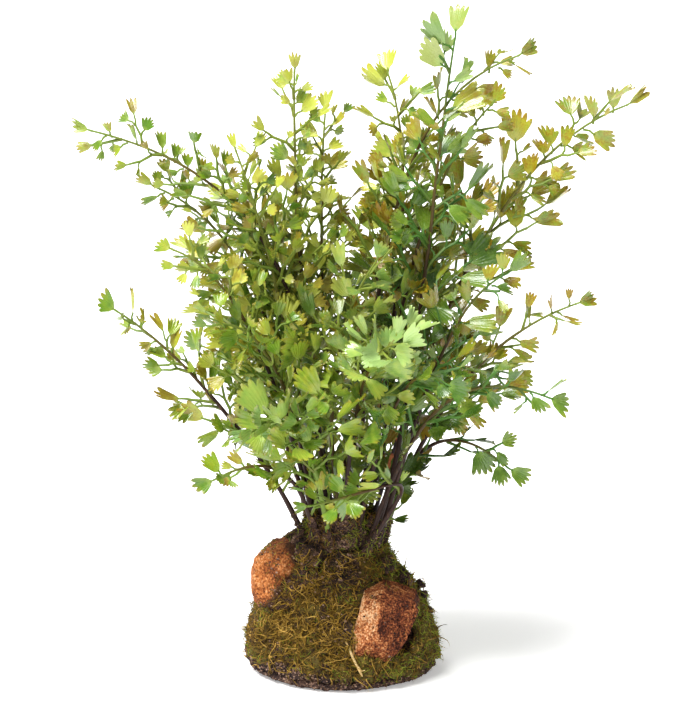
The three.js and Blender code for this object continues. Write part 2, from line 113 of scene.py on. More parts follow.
FRONDS = (
    Frond("far_left", (-9, -1), (-14, 230), (-40, 300), (-148, 8, 326), -78, 0.5, 46, 8.5, Tint.GREEN),
    Frond("far_right", (18, 2), (44, 180), (82, 310), (168, 10, 341), -84, 0.5, 46, 11, Tint.GOLD,
          shades=(0.05, 0.72), growth=1.45, mint=0.25),
    Frond("tallest", (15, -8), (46, 150), (52, 300), (66, -16, 386), -90, 0.42, 42, 12, Tint.DEEP_SHADED, growth=1.5,
          mint=0.6),
    Frond("right_arch", (5, 2), (20, 250), (28, 345), (104, 12, 370), -80, 0.5, 38, 8.5, Tint.GOLD,
          shades=(0, 0.8), growth=1.4),
    Frond("tall_left", (-5, 8), (-22, 180), (-30, 290), (-28, 16, 360), -95, 0.5, 40, 8, Tint.FRESH_LIT,
          shades=(0.1, 0.75), growth=1.4),
    Frond("left_upper", (-12, -11), (-30, 160), (-55, 245), (-98, -32, 262), -60, 0.42, 44, 10, Tint.FRESH_LIT),
    Frond("left_high", (-14, 4), (-32, 190), (-52, 268), (-112, 24, 290), -100, 0.45, 42, 9, Tint.GREEN),
    Frond("left_mid", (-18, -6), (-42, 135), (-96, 200), (-132, -24, 224), -70, 0.42, 24, 10, Tint.GREEN,
          shades=(0.1, 1.0)),
    Frond("left_low", (-13, -16), (-22, 128), (-40, 144), (-74, -46, 128), -60, 0.5, 12, 9.5, Tint.GREEN),
    Frond("right_mid", (22, -3), (44, 150), (80, 205), (138, -12, 226), -75, 0.42, 30, 10, Tint.GOLD),
    Frond("right_upper", (19, -13), (42, 150), (58, 230), (96, -42, 250), -80, 0.45, 38, 12, Tint.DEEP_SHADED,
          growth=1.4),
    Frond("right_reach", (13, -16), (36, 150), (60, 200), (120, -50, 178), -60, 0.45, 32, 11.5, Tint.DEEP_SHADED,
          shades=(-0.1, 0.6)),
    Frond("right_low", (24, 4), (34, 140), (62, 158), (98, -26, 130), -75, 0.5, 12, 12, Tint.DEEP_SHADED,
          shades=(-0.1, 0.6), growth=1.15),
    Frond("low_curl", (10, -20), (52, 140), (40, 126), (-18, -66, 117), -90, 0.62, 10, 10, Tint.GREEN,
          shades=(0, 0.6)),
    Frond("top_right", (9, -1), (30, 200), (44, 300), (88, -6, 344), -85, 0.5, 36, 9.5, Tint.GOLD),
    Frond("top_left", (-9, 9), (-26, 180), (-42, 260), (-62, -6, 316), -80, 0.48, 40, 9, Tint.FRESH_LIT),
    Frond("tall_back", (-1, 15), (-10, 160), (-16, 260), (-10, 46, 332), -80, 0.45, 44, 9, Tint.FRESH_LIT),
    Frond("top_mid", (9, 9), (30, 190), (48, 300), (27, 26, 358), -90, 0.45, 42, 9.5, Tint.FRESH_LIT, growth=1.4),
    Frond("front", (0, -14), (4, 160), (12, 214), (34, -90, 218), -90, 0.45, 40, 14, Tint.FRESH_LIT,
          shades=(-0.1, 0.3), growth=1.2, mint=0.9),
    Frond("front_left", (-6, -18), (-14, 140), (-28, 182), (-50, -84, 166), -100, 0.42, 36, 15, Tint.GREEN,
          young=1.0, shades=(0, 0.6), growth=1.32, mint=0.35),
    Frond("front_right", (7, -12), (22, 158), (38, 208), (60, -78, 192), -70, 0.45, 40, 12, Tint.DEEP_SHADED,
          shades=(-0.1, 0.6)),
    Frond("left_inner", (-7, -8), (-25, 170), (-45, 228), (-76, -58, 222), -110, 0.42, 44, 10.5, Tint.GREEN,
          shades=(0, 0.7)),
    Frond("crown_front", (2, -6), (-12, 150), (-8, 215), (20, -46, 258), -80, 0.5, 42, 10.5, Tint.FRESH_LIT,
          shades=(-0.1, 0.4), mint=0.2),
    Frond("crown_left", (-4, 1), (-16, 190), (-36, 262), (-66, 36, 288), -60, 0.42, 46, 10, Tint.GREEN),
    Frond("crown_right", (3, 9), (10, 180), (22, 262), (40, 52, 308), -110, 0.42, 46, 10, Tint.GOLD),
    Frond("back_right_high", (13, 14), (30, 165), (52, 245), (84, 62, 274), 60, 0.42, 46, 10.5, Tint.GOLD),
    Frond("back_left_high", (-11, 12), (-30, 155), (-60, 228), (-92, 78, 242), 110, 0.42, 46, 10.5,
          Tint.GREEN),
    Frond("back_high", (-5, 20), (-12, 150), (-22, 228), (-34, 104, 248), 90, 0.42, 46, 10.5, Tint.GOLD),
    Frond("back_mid", (7, 19), (18, 140), (32, 206), (48, 106, 218), 80, 0.42, 42, 11, Tint.GREEN),
    Frond("back_right_low", (19, 11), (32, 135), (60, 185), (104, 68, 166), 60, 0.42, 36, 11, Tint.DEEP_SHADED),
    Frond("back_left_low", (-18, 10), (-28, 132), (-52, 178), (-64, 84, 152), 110, 0.42, 36, 11, Tint.GREEN),
    Frond("back_low", (1, 22), (2, 120), (2, 154), (4, 96, 150), 90, 0.42, 34, 11, Tint.DEEP_SHADED),
)


@dataclass(frozen=True)
class StemRules:
    """How a stem runs from its foot, and how far it may bow past the others."""

    foot_height: float = 72
    foot_radius: float = 1.8
    tip_radius: float = 0.6
    steps: int = 8
    crown_steps: int = 2
    lean_at_rise: float = 0.22
    lean_at_bend: float = 0.62
    bows: tuple[float, ...] = (0, 6, -6, 12, -12, 18, -18, 24, -24)


@dataclass(frozen=True)
class TwigRules:
    """How twigs stand on a stem."""

    tip_radius: float = 0.45
    pitch: float = 13
    angle: float = 35
    wander: float = 9
    roll: float = 22
    thinning: float = 0.62
    length_wander: float = 0.12


@dataclass(frozen=True)
class LeafRules:
    """How leaves stand on a twig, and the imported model's plain wedge that marks each one."""

    petiole: float = 2.8
    pitch: float = 13.5
    angle: float = 56
    wander: float = 8
    tilt: float = 25
    roll: float = 30
    smallest: float = 0.78
    size_range: float = 0.34
    end_size: float = 1.15
    end_share: float = 0.97
    on_thin_twig: float = 0.75
    wedge_half_width: float = 0.49
    wedge_back: tuple[float, float] = (-1.04, -0.346)
    wedge_keel: tuple[float, float] = (2.08, 0.693)

    def share_on(self, taper: float) -> float:
        """Gives how long a twig's leaves are, as a share of the frond's, by how long the twig is."""
        return self.on_thin_twig + (1 - self.on_thin_twig) * taper


STEM = StemRules()
TWIG = TwigRules()
LEAF = LeafRules()
SWINGS = (0, 38, -38, 76, -76)
FOUND_WITHIN = 0.15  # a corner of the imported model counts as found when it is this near


# ---- Small helpers ----


def chance(number: float) -> float:
    """Gives the fixed value from 0 to 1 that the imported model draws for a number."""
    wave = math.sin(number * 12.9898 + 4.1) * 43758.5453
    return wave - math.floor(wave)


def wander(number: float, most: float) -> float:
    """Gives that value as one from -most to most."""
    return most * (2 * chance(number) - 1)


def ramp(value: float, low: float, high: float) -> float:
    """Gives how far a value is on its way from low to high, from 0 to 1."""
    return max(0.0, min(1.0, (value - low) / (high - low)))


def nearest_whole(value: float) -> int:
    """Rounds a half upwards."""
    return math.floor(value + 0.5)


def turned(vector: Vector, axis: Vector, degrees: float) -> Vector:
    """Turns a vector about an axis by an angle in degrees."""
    return Quaternion(axis, math.radians(degrees)) @ vector


def linear(hex_colour: str) -> tuple[float, float, float, float]:
    """Turns an sRGB hex colour into the linear one that a shader takes.

    Args:
        hex_colour: such as "#a9cc4a".

    Returns:
        Red, green, blue and alpha from 0 to 1.
    """
    channels = [int(hex_colour[i:i + 2], 16) / 255 for i in (1, 3, 5)]
    straight = [c / 12.92 if c <= 0.04045 else ((c + 0.055) / 1.055) ** 2.4 for c in channels]
    return (*straight, 1.0)


def add_node(tree: bpy.types.NodeTree, kind: str, settings: dict | None = None, links: dict | None = None,
             output: str = "") -> bpy.types.NodeSocket | None:
    """Adds one shader node.

    Args:
        tree: the node tree it goes into.
        kind: the node's type without its "ShaderNode" start.
        settings: values by property name, or by an input's name or number. "ramp" holds a ramp's stops.
        links: the output socket that feeds each input, by the input's name or number.
        output: the name of the output that is wanted, if it isn't the first one in use.

    Returns:
        That output, or None where the node has none.
    """
    node = tree.nodes.new("ShaderNode" + kind)
    for key, value in (settings or {}).items():
        if key == "ramp":
            stops = node.color_ramp.elements
            while len(stops) < len(value):
                stops.new(0.5)
            for stop, (place, colour) in zip(stops, value):
                stop.position = place
                stop.color = linear(colour) if isinstance(colour, str) else (colour, colour, colour, 1)
        elif isinstance(key, str) and hasattr(node, key):
            setattr(node, key, value)
        else:
            node.inputs[key].default_value = value
    for key, socket in (links or {}).items():
        tree.links.new(socket, node.inputs[key])
    return node.outputs[output] if output else next((end for end in node.outputs if end.enabled), None)


def new_material(name: str) -> tuple[bpy.types.Material, Callable]:
    """Makes a material without nodes.

    Args:
        name: the material's name.

    Returns:
        The material, and add_node bound to its tree.
    """
    material = bpy.data.materials.new(name)
    material.use_nodes = True
    material.node_tree.nodes.clear()
    return material, partial(add_node, material.node_tree)


def deselect_all() -> None:
    """Leaves nothing selected, so that an operator acts only on what is picked next."""
    for thing in bpy.context.selected_objects:
        thing.select_set(False)


def pick(thing: bpy.types.Object) -> None:
    """Makes one object the only selected and the active one."""
    deselect_all()
    thing.select_set(True)
    bpy.context.view_layer.objects.active = thing


def apply_modifier(thing: bpy.types.Object, kind: str, **settings: object) -> None:
    """Adds a modifier with its settings and applies it.

    Args:
        thing: the object it shapes.
        kind: the modifier's type, such as "REMESH".
        settings: the modifier's own properties.
    """
    pick(thing)
    modifier = thing.modifiers.new(kind.title(), kind)
    for key, value in settings.items():
        setattr(modifier, key, value)
    bpy.ops.object.modifier_apply(modifier=modifier.name)


def smooth(thing: bpy.types.Object, degrees: float) -> None:
    """Shades an object smooth, apart from edges sharper than an angle."""
    pick(thing)
    bpy.ops.object.shade_smooth_by_angle(angle=math.radians(degrees))


def join_doubles(threshold: float) -> None:
    """Joins the points of the active mesh that lie within a distance in metres."""
    bpy.ops.object.mode_set(mode="EDIT")
    bpy.ops.mesh.select_all(action="SELECT")
    bpy.ops.mesh.remove_doubles(threshold=threshold)
    bpy.ops.object.mode_set(mode="OBJECT")


def hand_over(piece: bpy.types.Object, degrees: float, replaced: str = "") -> None:
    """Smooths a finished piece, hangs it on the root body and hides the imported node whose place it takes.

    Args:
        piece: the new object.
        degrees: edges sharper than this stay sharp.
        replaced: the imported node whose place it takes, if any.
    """
    smooth(piece, degrees)
    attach(piece, "root")
    if replaced:
        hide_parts(replaced)
    LOG.info("%s: %d faces", piece.name, len(piece.data.polygons))


def merged_copy(node: str, name: str) -> bpy.types.Object:
    """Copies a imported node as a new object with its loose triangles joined.

    Args:
        node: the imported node's name.
        name: the new piece's name.

    Returns:
        The new object.
    """
    copy = bpy.data.objects.new(name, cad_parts[node].data.copy())
    copy.data.materials.clear()
    bpy.context.scene.collection.objects.link(copy)
    pick(copy)
    join_doubles(0.01 * MM)
    return copy


# ---- Meshes as arrays, for shapes that are modelled once and repeated many times ----


@dataclass
class Shape:
    """A mesh as arrays: places, faces, the faces' material number, and the points' values by their names."""

    places: np.ndarray
    faces: list[tuple[int, ...]]
    material: int = 0
    values: dict[str, np.ndarray] = field(default_factory=dict)

    @classmethod
    def of(cls, thing: bpy.types.Object) -> "Shape":
        """Reads an object's mesh and removes the object."""
        mesh = thing.data
        places = np.zeros(len(mesh.vertices) * 3)
        mesh.vertices.foreach_get("co", places)
        faces = [tuple(face.vertices) for face in mesh.polygons]
        values = {}
        for name, attribute in mesh.attributes.items():
            if attribute.domain == "POINT" and attribute.data_type == "FLOAT":
                values[name] = np.zeros(len(mesh.vertices))
                attribute.data.foreach_get("value", values[name])
        bpy.data.objects.remove(thing)
        bpy.data.meshes.remove(mesh)
        return cls(places.reshape(-1, 3), faces, 0, values)

    def mirrored(self) -> "Shape":
        """Gives the same shape with left and right changed, still facing outwards."""
        flipped = [face[::-1] for face in self.faces]
        return Shape(self.places * (-1, 1, 1), flipped, self.material, self.values)

    def placed(self, matrix: Matrix, **values: float) -> "Shape":
        """Gives a copy put in its place.

        Args:
            matrix: from the shape's own space to the plant's.
            values: one number for the whole copy, by its attribute's name.

        Returns:
            The copy.
        """
        grid = np.array(matrix)
        places = self.places @ grid[:3, :3].T + grid[:3, 3]
        every = {name: np.full(len(places), value) for name, value in values.items()}
        return Shape(places, self.faces, self.material, {**self.values, **every})


def build_object(name: str, shapes: Iterable[Shape],
                 materials: Sequence[bpy.types.Material] = ()) -> bpy.types.Object:
    """Joins shapes into one object with its place in its mesh.

    Args:
        name: the piece's name.
        shapes: the shapes, in metres.
        materials: the object's materials, in the order that the shapes number them.

    Returns:
        The new object.
    """
    shapes = list(shapes)
    faces: list[tuple[int, ...]] = []
    numbers: list[int] = []
    start = 0
    for shape in shapes:
        faces.extend(tuple(corner + start for corner in face) for face in shape.faces)
        numbers.extend([shape.material] * len(shape.faces))
        start += len(shape.places)
    mesh = bpy.data.meshes.new(name)
    mesh.from_pydata(np.concatenate([shape.places for shape in shapes]), [], faces)
    for label in sorted({label for shape in shapes for label in shape.values}):
        parts = [shape.values.get(label, np.zeros(len(shape.places))) for shape in shapes]
        mesh.attributes.new(label, "FLOAT", "POINT").data.foreach_set("value", np.concatenate(parts))
    for material in materials:
        mesh.materials.append(material)
    mesh.polygons.foreach_set("material_index", numbers)
    mesh.polygons.foreach_set("use_smooth", [True] * len(faces))
    mesh.update()
    thing = bpy.data.objects.new(name, mesh)
    bpy.context.scene.collection.objects.link(thing)
    return thing


@dataclass
class Path:
    """A line of points in millimetres, with the radius and the age of the stalk at each (0 old, 1 new)."""

    points: list[Vector]
    radii: list[float]
    ages: list[float]


def tubes(paths: Sequence[Path], roundness: int, material: int, **values: float) -> Shape:
    """Makes one closed tube along each path.

    Args:
        paths: the lines to follow.
        roundness: the curve's bevel resolution; 0 gives four sides and each step two more.
        material: the material number of the faces.
        values: one number for all the tubes, by its attribute's name.

    Returns:
        The tubes as one shape, in metres, with the attribute "age".
    """
    curve = bpy.data.curves.new("stalks", "CURVE")
    curve.dimensions = "3D"
    curve.bevel_depth = 1.0
    curve.bevel_resolution = roundness
    curve.use_fill_caps = True
    known = KDTree(sum(len(path.points) for path in paths))
    ages: list[float] = []
    for path in paths:
        spline = curve.splines.new("POLY")
        spline.points.add(len(path.points) - 1)
        for knot, place, radius, age in zip(spline.points, path.points, path.radii, path.ages):
            knot.co = (*(place * MM), 1)
            knot.radius = radius * MM
            known.insert(place * MM, len(ages))
            ages.append(age)
    known.balance()
    thing = bpy.data.objects.new("stalks", curve)
    bpy.context.scene.collection.objects.link(thing)
    pick(thing)
    bpy.ops.object.convert(target="MESH")
    join_doubles(0.0005 * MM)
    shape = Shape.of(bpy.context.object)
    shape.material = material
    shape.values["age"] = np.array([ages[known.find(place)[1]] for place in shape.places])
    for name, value in values.items():
        shape.values[name] = np.full(len(shape.places), value)
    return shape


def extruded_rod(sides: int, radii: Sequence[float], steps: Sequence[Vector]) -> bpy.types.Object:
    """Models a bent, tapering rod: a disc that is extruded and scaled again and again.

    Args:
        sides: the corners of the disc.
        radii: the radius at the foot and after each step.
        steps: the way from each ring to the next.

    Returns:
        The new object, in the units of the radii.
    """
    deselect_all()
    bpy.ops.mesh.primitive_circle_add(vertices=sides, radius=radii[0], fill_type="NGON")
    rod = bpy.context.object
    bpy.ops.object.mode_set(mode="EDIT")
    bpy.ops.mesh.select_all(action="SELECT")
    bpy.ops.mesh.flip_normals()
    centre = Vector((0, 0, 0))
    for before, after, step in zip(radii, radii[1:], steps):
        bpy.ops.mesh.extrude_region_move(TRANSFORM_OT_translate={"value": step})
        centre = centre + step
        ratio = after / before
        bpy.ops.transform.resize(value=(ratio, ratio, ratio), center_override=centre)
    bpy.ops.mesh.select_all(action="SELECT")
    bpy.ops.mesh.normals_make_consistent(inside=False)
    if bmesh.from_edit_mesh(rod.data).calc_volume(signed=True) < 0:
        bpy.ops.mesh.flip_normals()
    bpy.ops.object.mode_set(mode="OBJECT")
    return rod


# ---- Finishes ----


@dataclass(frozen=True)
class LeafFinish:
    """Polyethylene leaf, injection moulded and tinted with a thin spray of a second colour.

    The eye sees a satin skin with soft wide highlights, a paler foot, faint ribs that run to the fingers,
    and brown or yellow fingertips where the spray is thickest. Thin plastic also lets some light through. No
    two leaves have the same mix: each takes its own place in the range of colours. Leaves deep inside the
    crown are painted a darker green, a painted shade in place of the crown's own shade, and some near a
    frond's end have more of the pale mint.
    """

    name: str
    foot: str
    colours: tuple[tuple[float, str], ...]
    spray: str
    tips: str
    # the dark green that leaves deep inside the crown are painted with: a painted shade
    painted_inner_shade: str
    spray_amount: float
    tips_amount: float
    roughness: float = 0.32
    patch_mm: float = 5.0
    speck_mm: float = 1.1
    mottle: float = 0.3
    rib_count: float = 26.0
    rib_mm: float = 0.16
    see_through: float = 0.13
    mint: str = "#b2d284"

    def make(self) -> bpy.types.Material:
        """Builds the node material."""
        material, add = new_material(self.name)
        place = add("TexCoord", output="Object")
        # The attribute "old" carries the painted shade of leaves deep inside the crown.
        shade, margin, across, pale, old = (
            add("Attribute", {"attribute_name": name}, output="Fac")
            for name in ("shade", "margin", "across", "pale", "old"))
        patches, specks = (
            add("TexNoise", {"Scale": 1 / (size * MM), "Detail": detail}, {"Vector": place})
            for size, detail in ((self.patch_mm, 4), (self.speck_mm, 2)))
        drift = add("MapRange", {"From Min": 0.3, "From Max": 0.7, "To Min": -self.mottle / 2,
                                 "To Max": self.mottle / 2}, {"Value": patches})
        level = add("Math", {"operation": "ADD"}, {0: shade, 1: drift})
        colour = add("ValToRGB", {"ramp": self.colours}, {"Fac": level})
        mist = add("Math", {"operation": "MULTIPLY"}, {0: patches, 1: specks})
        misted = add("MapRange", {"From Min": 0.2, "From Max": 0.36, "To Max": self.spray_amount},
                     {"Value": mist})
        to_tips = add("MapRange", {"From Min": 0.66, "From Max": 1.0, "To Max": self.tips_amount},
                      {"Value": margin})
        uneven = add("MapRange", {"From Min": 0.35, "From Max": 0.6, "To Min": 0.35}, {"Value": patches})
        tipped = add("Math", {"operation": "MULTIPLY"}, {0: to_tips, 1: uneven})
        footed = add("MapRange", {"From Min": 0.4, "From Max": 0.0, "To Max": 0.6}, {"Value": margin})
        for tint, share in ((self.spray, misted), (self.tips, tipped), (self.foot, footed),
                            (self.painted_inner_shade, old), (self.mint, pale)):
            colour = add("Mix", {"data_type": "RGBA", 7: linear(tint)}, {0: share, 6: colour})
        gloss = add("MapRange", {"To Min": self.roughness - 0.12, "To Max": self.roughness + 0.12},
                    {"Value": patches})
        ribs = add("Math", {"operation": "MULTIPLY", 1: self.rib_count}, {0: across})
        wave = add("Math", {"operation": "SINE"}, {0: ribs})
        relief = add("Math", {"operation": "MULTIPLY_ADD", 1: 0.5}, {0: wave, 2: specks})
        bump = add("Bump", {"Strength": 0.7, "Distance": self.rib_mm * MM}, {"Height": relief})
        skin = add("BsdfPrincipled", {"Coat Weight": 0.45, "Coat Roughness": 0.16, "IOR": 1.5},
                   {"Base Color": colour, "Roughness": gloss, "Normal": bump})
        glow = add("BsdfTranslucent", links={"Color": colour, "Normal": bump})
        both = add("MixShader", {0: self.see_through}, {1: skin, 2: glow})
        add("OutputMaterial", links={"Surface": both})
        return material


# In each finish the last of the three colours after the ramp is the dark green of the painted shade on leaves
# deep inside the crown.
LEAF_FINISHES = {
    Tint.FRESH_LIT: LeafFinish(
        "fresh_lit_moulded_leaf", "#dce88e",
        ((0.0, "#668e2c"), (0.2, "#98b43a"), (0.4, "#bac444"), (0.64, "#c6ce4e"), (0.86, "#bcb43c"),
         (1.0, "#a8962e")),
        "#a0962e", "#b08c20", "#4e5e22", 0.12, 0.55),
    Tint.GREEN: LeafFinish(
        "green_moulded_leaf", "#bcd060",
        ((0.0, "#5c881e"), (0.34, "#84a428"), (0.64, "#aaba36"), (0.84, "#aca22e"), (1.0, "#907e26")),
        "#8d7e24", "#a07c1c", "#3c541e", 0.14, 0.7),
    Tint.DEEP_SHADED: LeafFinish(
        "deep_shaded_moulded_leaf", "#9cc054",
        ((0.0, "#486e20"), (0.34, "#688a28"), (0.64, "#8aa232"), (0.86, "#a4a636"), (1.0, "#a08e2a")),
        "#6e8226", "#a89c2e", "#2e4a1c", 0.1, 0.5, 0.26),
    Tint.GOLD: LeafFinish(
        "gold_moulded_leaf", "#c4c85c",
        ((0.0, "#7c962a"), (0.34, "#9aa42c"), (0.66, "#b2ac2a"), (0.88, "#b69e26"), (1.0, "#a88a1c")),
        "#96700e", "#906812", "#865e10", 0.75, 0.6, mottle=0.5),
}


@dataclass(frozen=True)
class StalkFinish:
    """Wire stem in an extruded polyethylene sleeve, dark at the foot and green towards the leaves.

    The eye sees a thin satin stem with a dark purple-brown foot, worn paler in places, that turns olive and
    then the green of the young twigs.
    """

    name: str = "sleeved_stalk"
    old: str = "#33201a"
    worn: str = "#6e4e3c"
    olive: str = "#5c4e20"
    young: str = "#7e8e38"
    young_deep: str = "#4c7430"
    grain_mm: float = 1.6
    roughness: float = 0.44

    def make(self) -> bpy.types.Material:
        """Builds the node material."""
        material, add = new_material(self.name)
        place = add("TexCoord", output="Object")
        age, tone = (add("Attribute", {"attribute_name": name}, output="Fac") for name in ("age", "tone"))
        stretch = add("Mapping", {"Scale": (1, 1, 0.15)}, {"Vector": place})
        grain = add("TexNoise", {"Scale": 1 / (self.grain_mm * MM), "Detail": 4}, {"Vector": stretch})
        wear = add("MapRange", {"From Min": 0.58, "From Max": 0.74, "To Max": 0.6}, {"Value": grain})
        bark = add("Mix", {"data_type": "RGBA", 6: linear(self.old), 7: linear(self.worn)}, {0: wear})
        green = add("Mix", {"data_type": "RGBA", 6: linear(self.young), 7: linear(self.young_deep)},
                    {0: tone})
        shifted = add("Math", {"operation": "MULTIPLY_ADD", 1: 0.16}, {0: grain, 2: age})
        to_olive = add("MapRange", {"From Min": 0.4, "From Max": 0.68}, {"Value": shifted})
        to_green = add("MapRange", {"From Min": 0.66, "From Max": 0.98}, {"Value": shifted})
        lower = add("Mix", {"data_type": "RGBA", 7: linear(self.olive)}, {0: to_olive, 6: bark})
        colour = add("Mix", {"data_type": "RGBA"}, {0: to_green, 6: lower, 7: green})
        gloss = add("MapRange", {"To Min": self.roughness - 0.12, "To Max": self.roughness + 0.16},
                    {"Value": grain})
        bump = add("Bump", {"Strength": 0.5, "Distance": 0.15 * MM}, {"Height": grain})
        skin = add("BsdfPrincipled", {"IOR": 1.5, "Specular IOR Level": 0.2},
                   {"Base Color": colour, "Roughness": gloss, "Normal": bump})
        add("OutputMaterial", links={"Surface": skin})
        return material


@dataclass(frozen=True)
class EarthFinish:
    """A matt natural stuff whose colour goes from piece to piece and from grain to grain.

    The eye sees hardly any highlight, only a mottled colour. The hollows are painted darker, a painted shade,
    and on the stones the same dark marks the soil that clings to them. Each piece carries its own place in
    the colours as the attribute "shade".
    """

    name: str
    colours: tuple[tuple[float, str], ...]
    patch_mm: float
    grain_mm: float
    grain_share: float = 0.35
    patch_share: float = 0.3
    roughness: float = 0.9
    bump_mm: float = 0.3
    # the colour of the painted shade in the hollows, and on the stones also of the clinging soil
    hollow: str = "#1b1412"
    glow: float = 0.0

    def make(self) -> bpy.types.Material:
        """Builds the node material."""
        material, add = new_material(self.name)
        place = add("TexCoord", output="Object")
        shade, hollow = (
            add("Attribute", {"attribute_name": name}, output="Fac") for name in ("shade", "hollow"))
        grains, patches = (
            add("TexNoise", {"Scale": 1 / (size * MM), "Detail": detail}, {"Vector": place})
            for size, detail in ((self.grain_mm, 4), (self.patch_mm, 3)))
        fine, wide = (
            add("MapRange", {"From Min": 0.3, "From Max": 0.7, "To Min": -share / 2, "To Max": share / 2},
                {"Value": texture})
            for texture, share in ((grains, self.grain_share), (patches, self.patch_share)))
        both = add("Math", {"operation": "ADD"}, {0: fine, 1: wide})
        level = add("Math", {"operation": "ADD"}, {0: both, 1: shade})
        body = add("ValToRGB", {"ramp": self.colours}, {"Fac": level})
        colour = add("Mix", {"data_type": "RGBA", 7: linear(self.hollow)}, {0: hollow, 6: body})
        bump = add("Bump", {"Strength": 0.7, "Distance": self.bump_mm * MM}, {"Height": grains})
        skin = add("BsdfPrincipled", {"Roughness": self.roughness, "Specular IOR Level": 0.25,
                                      "Emission Color": (1, 1, 1, 1), "Emission Strength": self.glow},
                   {"Base Color": colour, "Normal": bump})
        add("OutputMaterial", links={"Surface": skin})
        return material


SOIL = EarthFinish(
    "pressed_peat_soil", ((0.0, "#1c1312"), (0.32, "#402e2a"), (0.64, "#6a4e3e"), (1.0, "#a0826e")), 6.0, 0.8,
    0.8)
MOSS_MAT = EarthFinish(
    "moss_mat", ((0.0, "#1d1414"), (0.3, "#382822"), (0.6, "#4c3e19"), (1.0, "#6f6426")), 7.0, 1.2, 0.4)
MOSS_PILE = EarthFinish(
    "moss_fronds", ((0.0, "#281b0a"), (0.16, "#523a16"), (0.34, "#7e5c20"), (0.48, "#9c7830"),
                    (0.6, "#4e5a14"), (0.8, "#6e7a1c"), (1.0, "#969e36")), 9.0, 2.0, 0.12)
MOSS_CURLS = EarthFinish(
    "dried_moss_strands", ((0.0, "#47350c"), (0.35, "#775c1a"), (0.7, "#9c7a28"), (1.0, "#c49c4c")), 8.0, 2.0,
    roughness=0.7)
ROUND_STONE = EarthFinish(
    "weathered_red_stone", ((0.0, "#48240f"), (0.3, "#824520"), (0.55, "#ae6430"), (0.8, "#c68048"),
                            (1.0, "#d8a070")), 7.0, 1.2, 0.85, bump_mm=0.6, hollow="#2c1c14")
ANGULAR_STONE = EarthFinish(
    "porous_red_stone", ((0.0, "#3e1c10"), (0.3, "#7c3e22"), (0.55, "#a86236"), (0.8, "#ca8a56"),
                         (1.0, "#e2b488")), 7.0, 1.1, 0.95, bump_mm=0.6, hollow="#28140f")
STRAW = EarthFinish(
    "dry_straw", ((0.0, "#a07a40"), (0.5, "#dcbb7c"), (1.0, "#efdcae")), 6.0, 1.2, 0.5, roughness=0.55,
    bump_mm=0.15)
TORN_BARK = EarthFinish(
    "torn_bark", ((0.0, "#221a1c"), (0.45, "#453638"), (0.7, "#8a5030"), (1.0, "#c9774a")), 5.0, 1.0, 0.3,
    roughness=0.5)
STUDIO_BOARD = EarthFinish(
    "painted_studio_board", ((0.0, "#f6f6f6"), (1.0, "#fbfbfb")), 120.0, 4.0, 0.2, bump_mm=0.02, glow=0.36)


# ---- Leaves ----


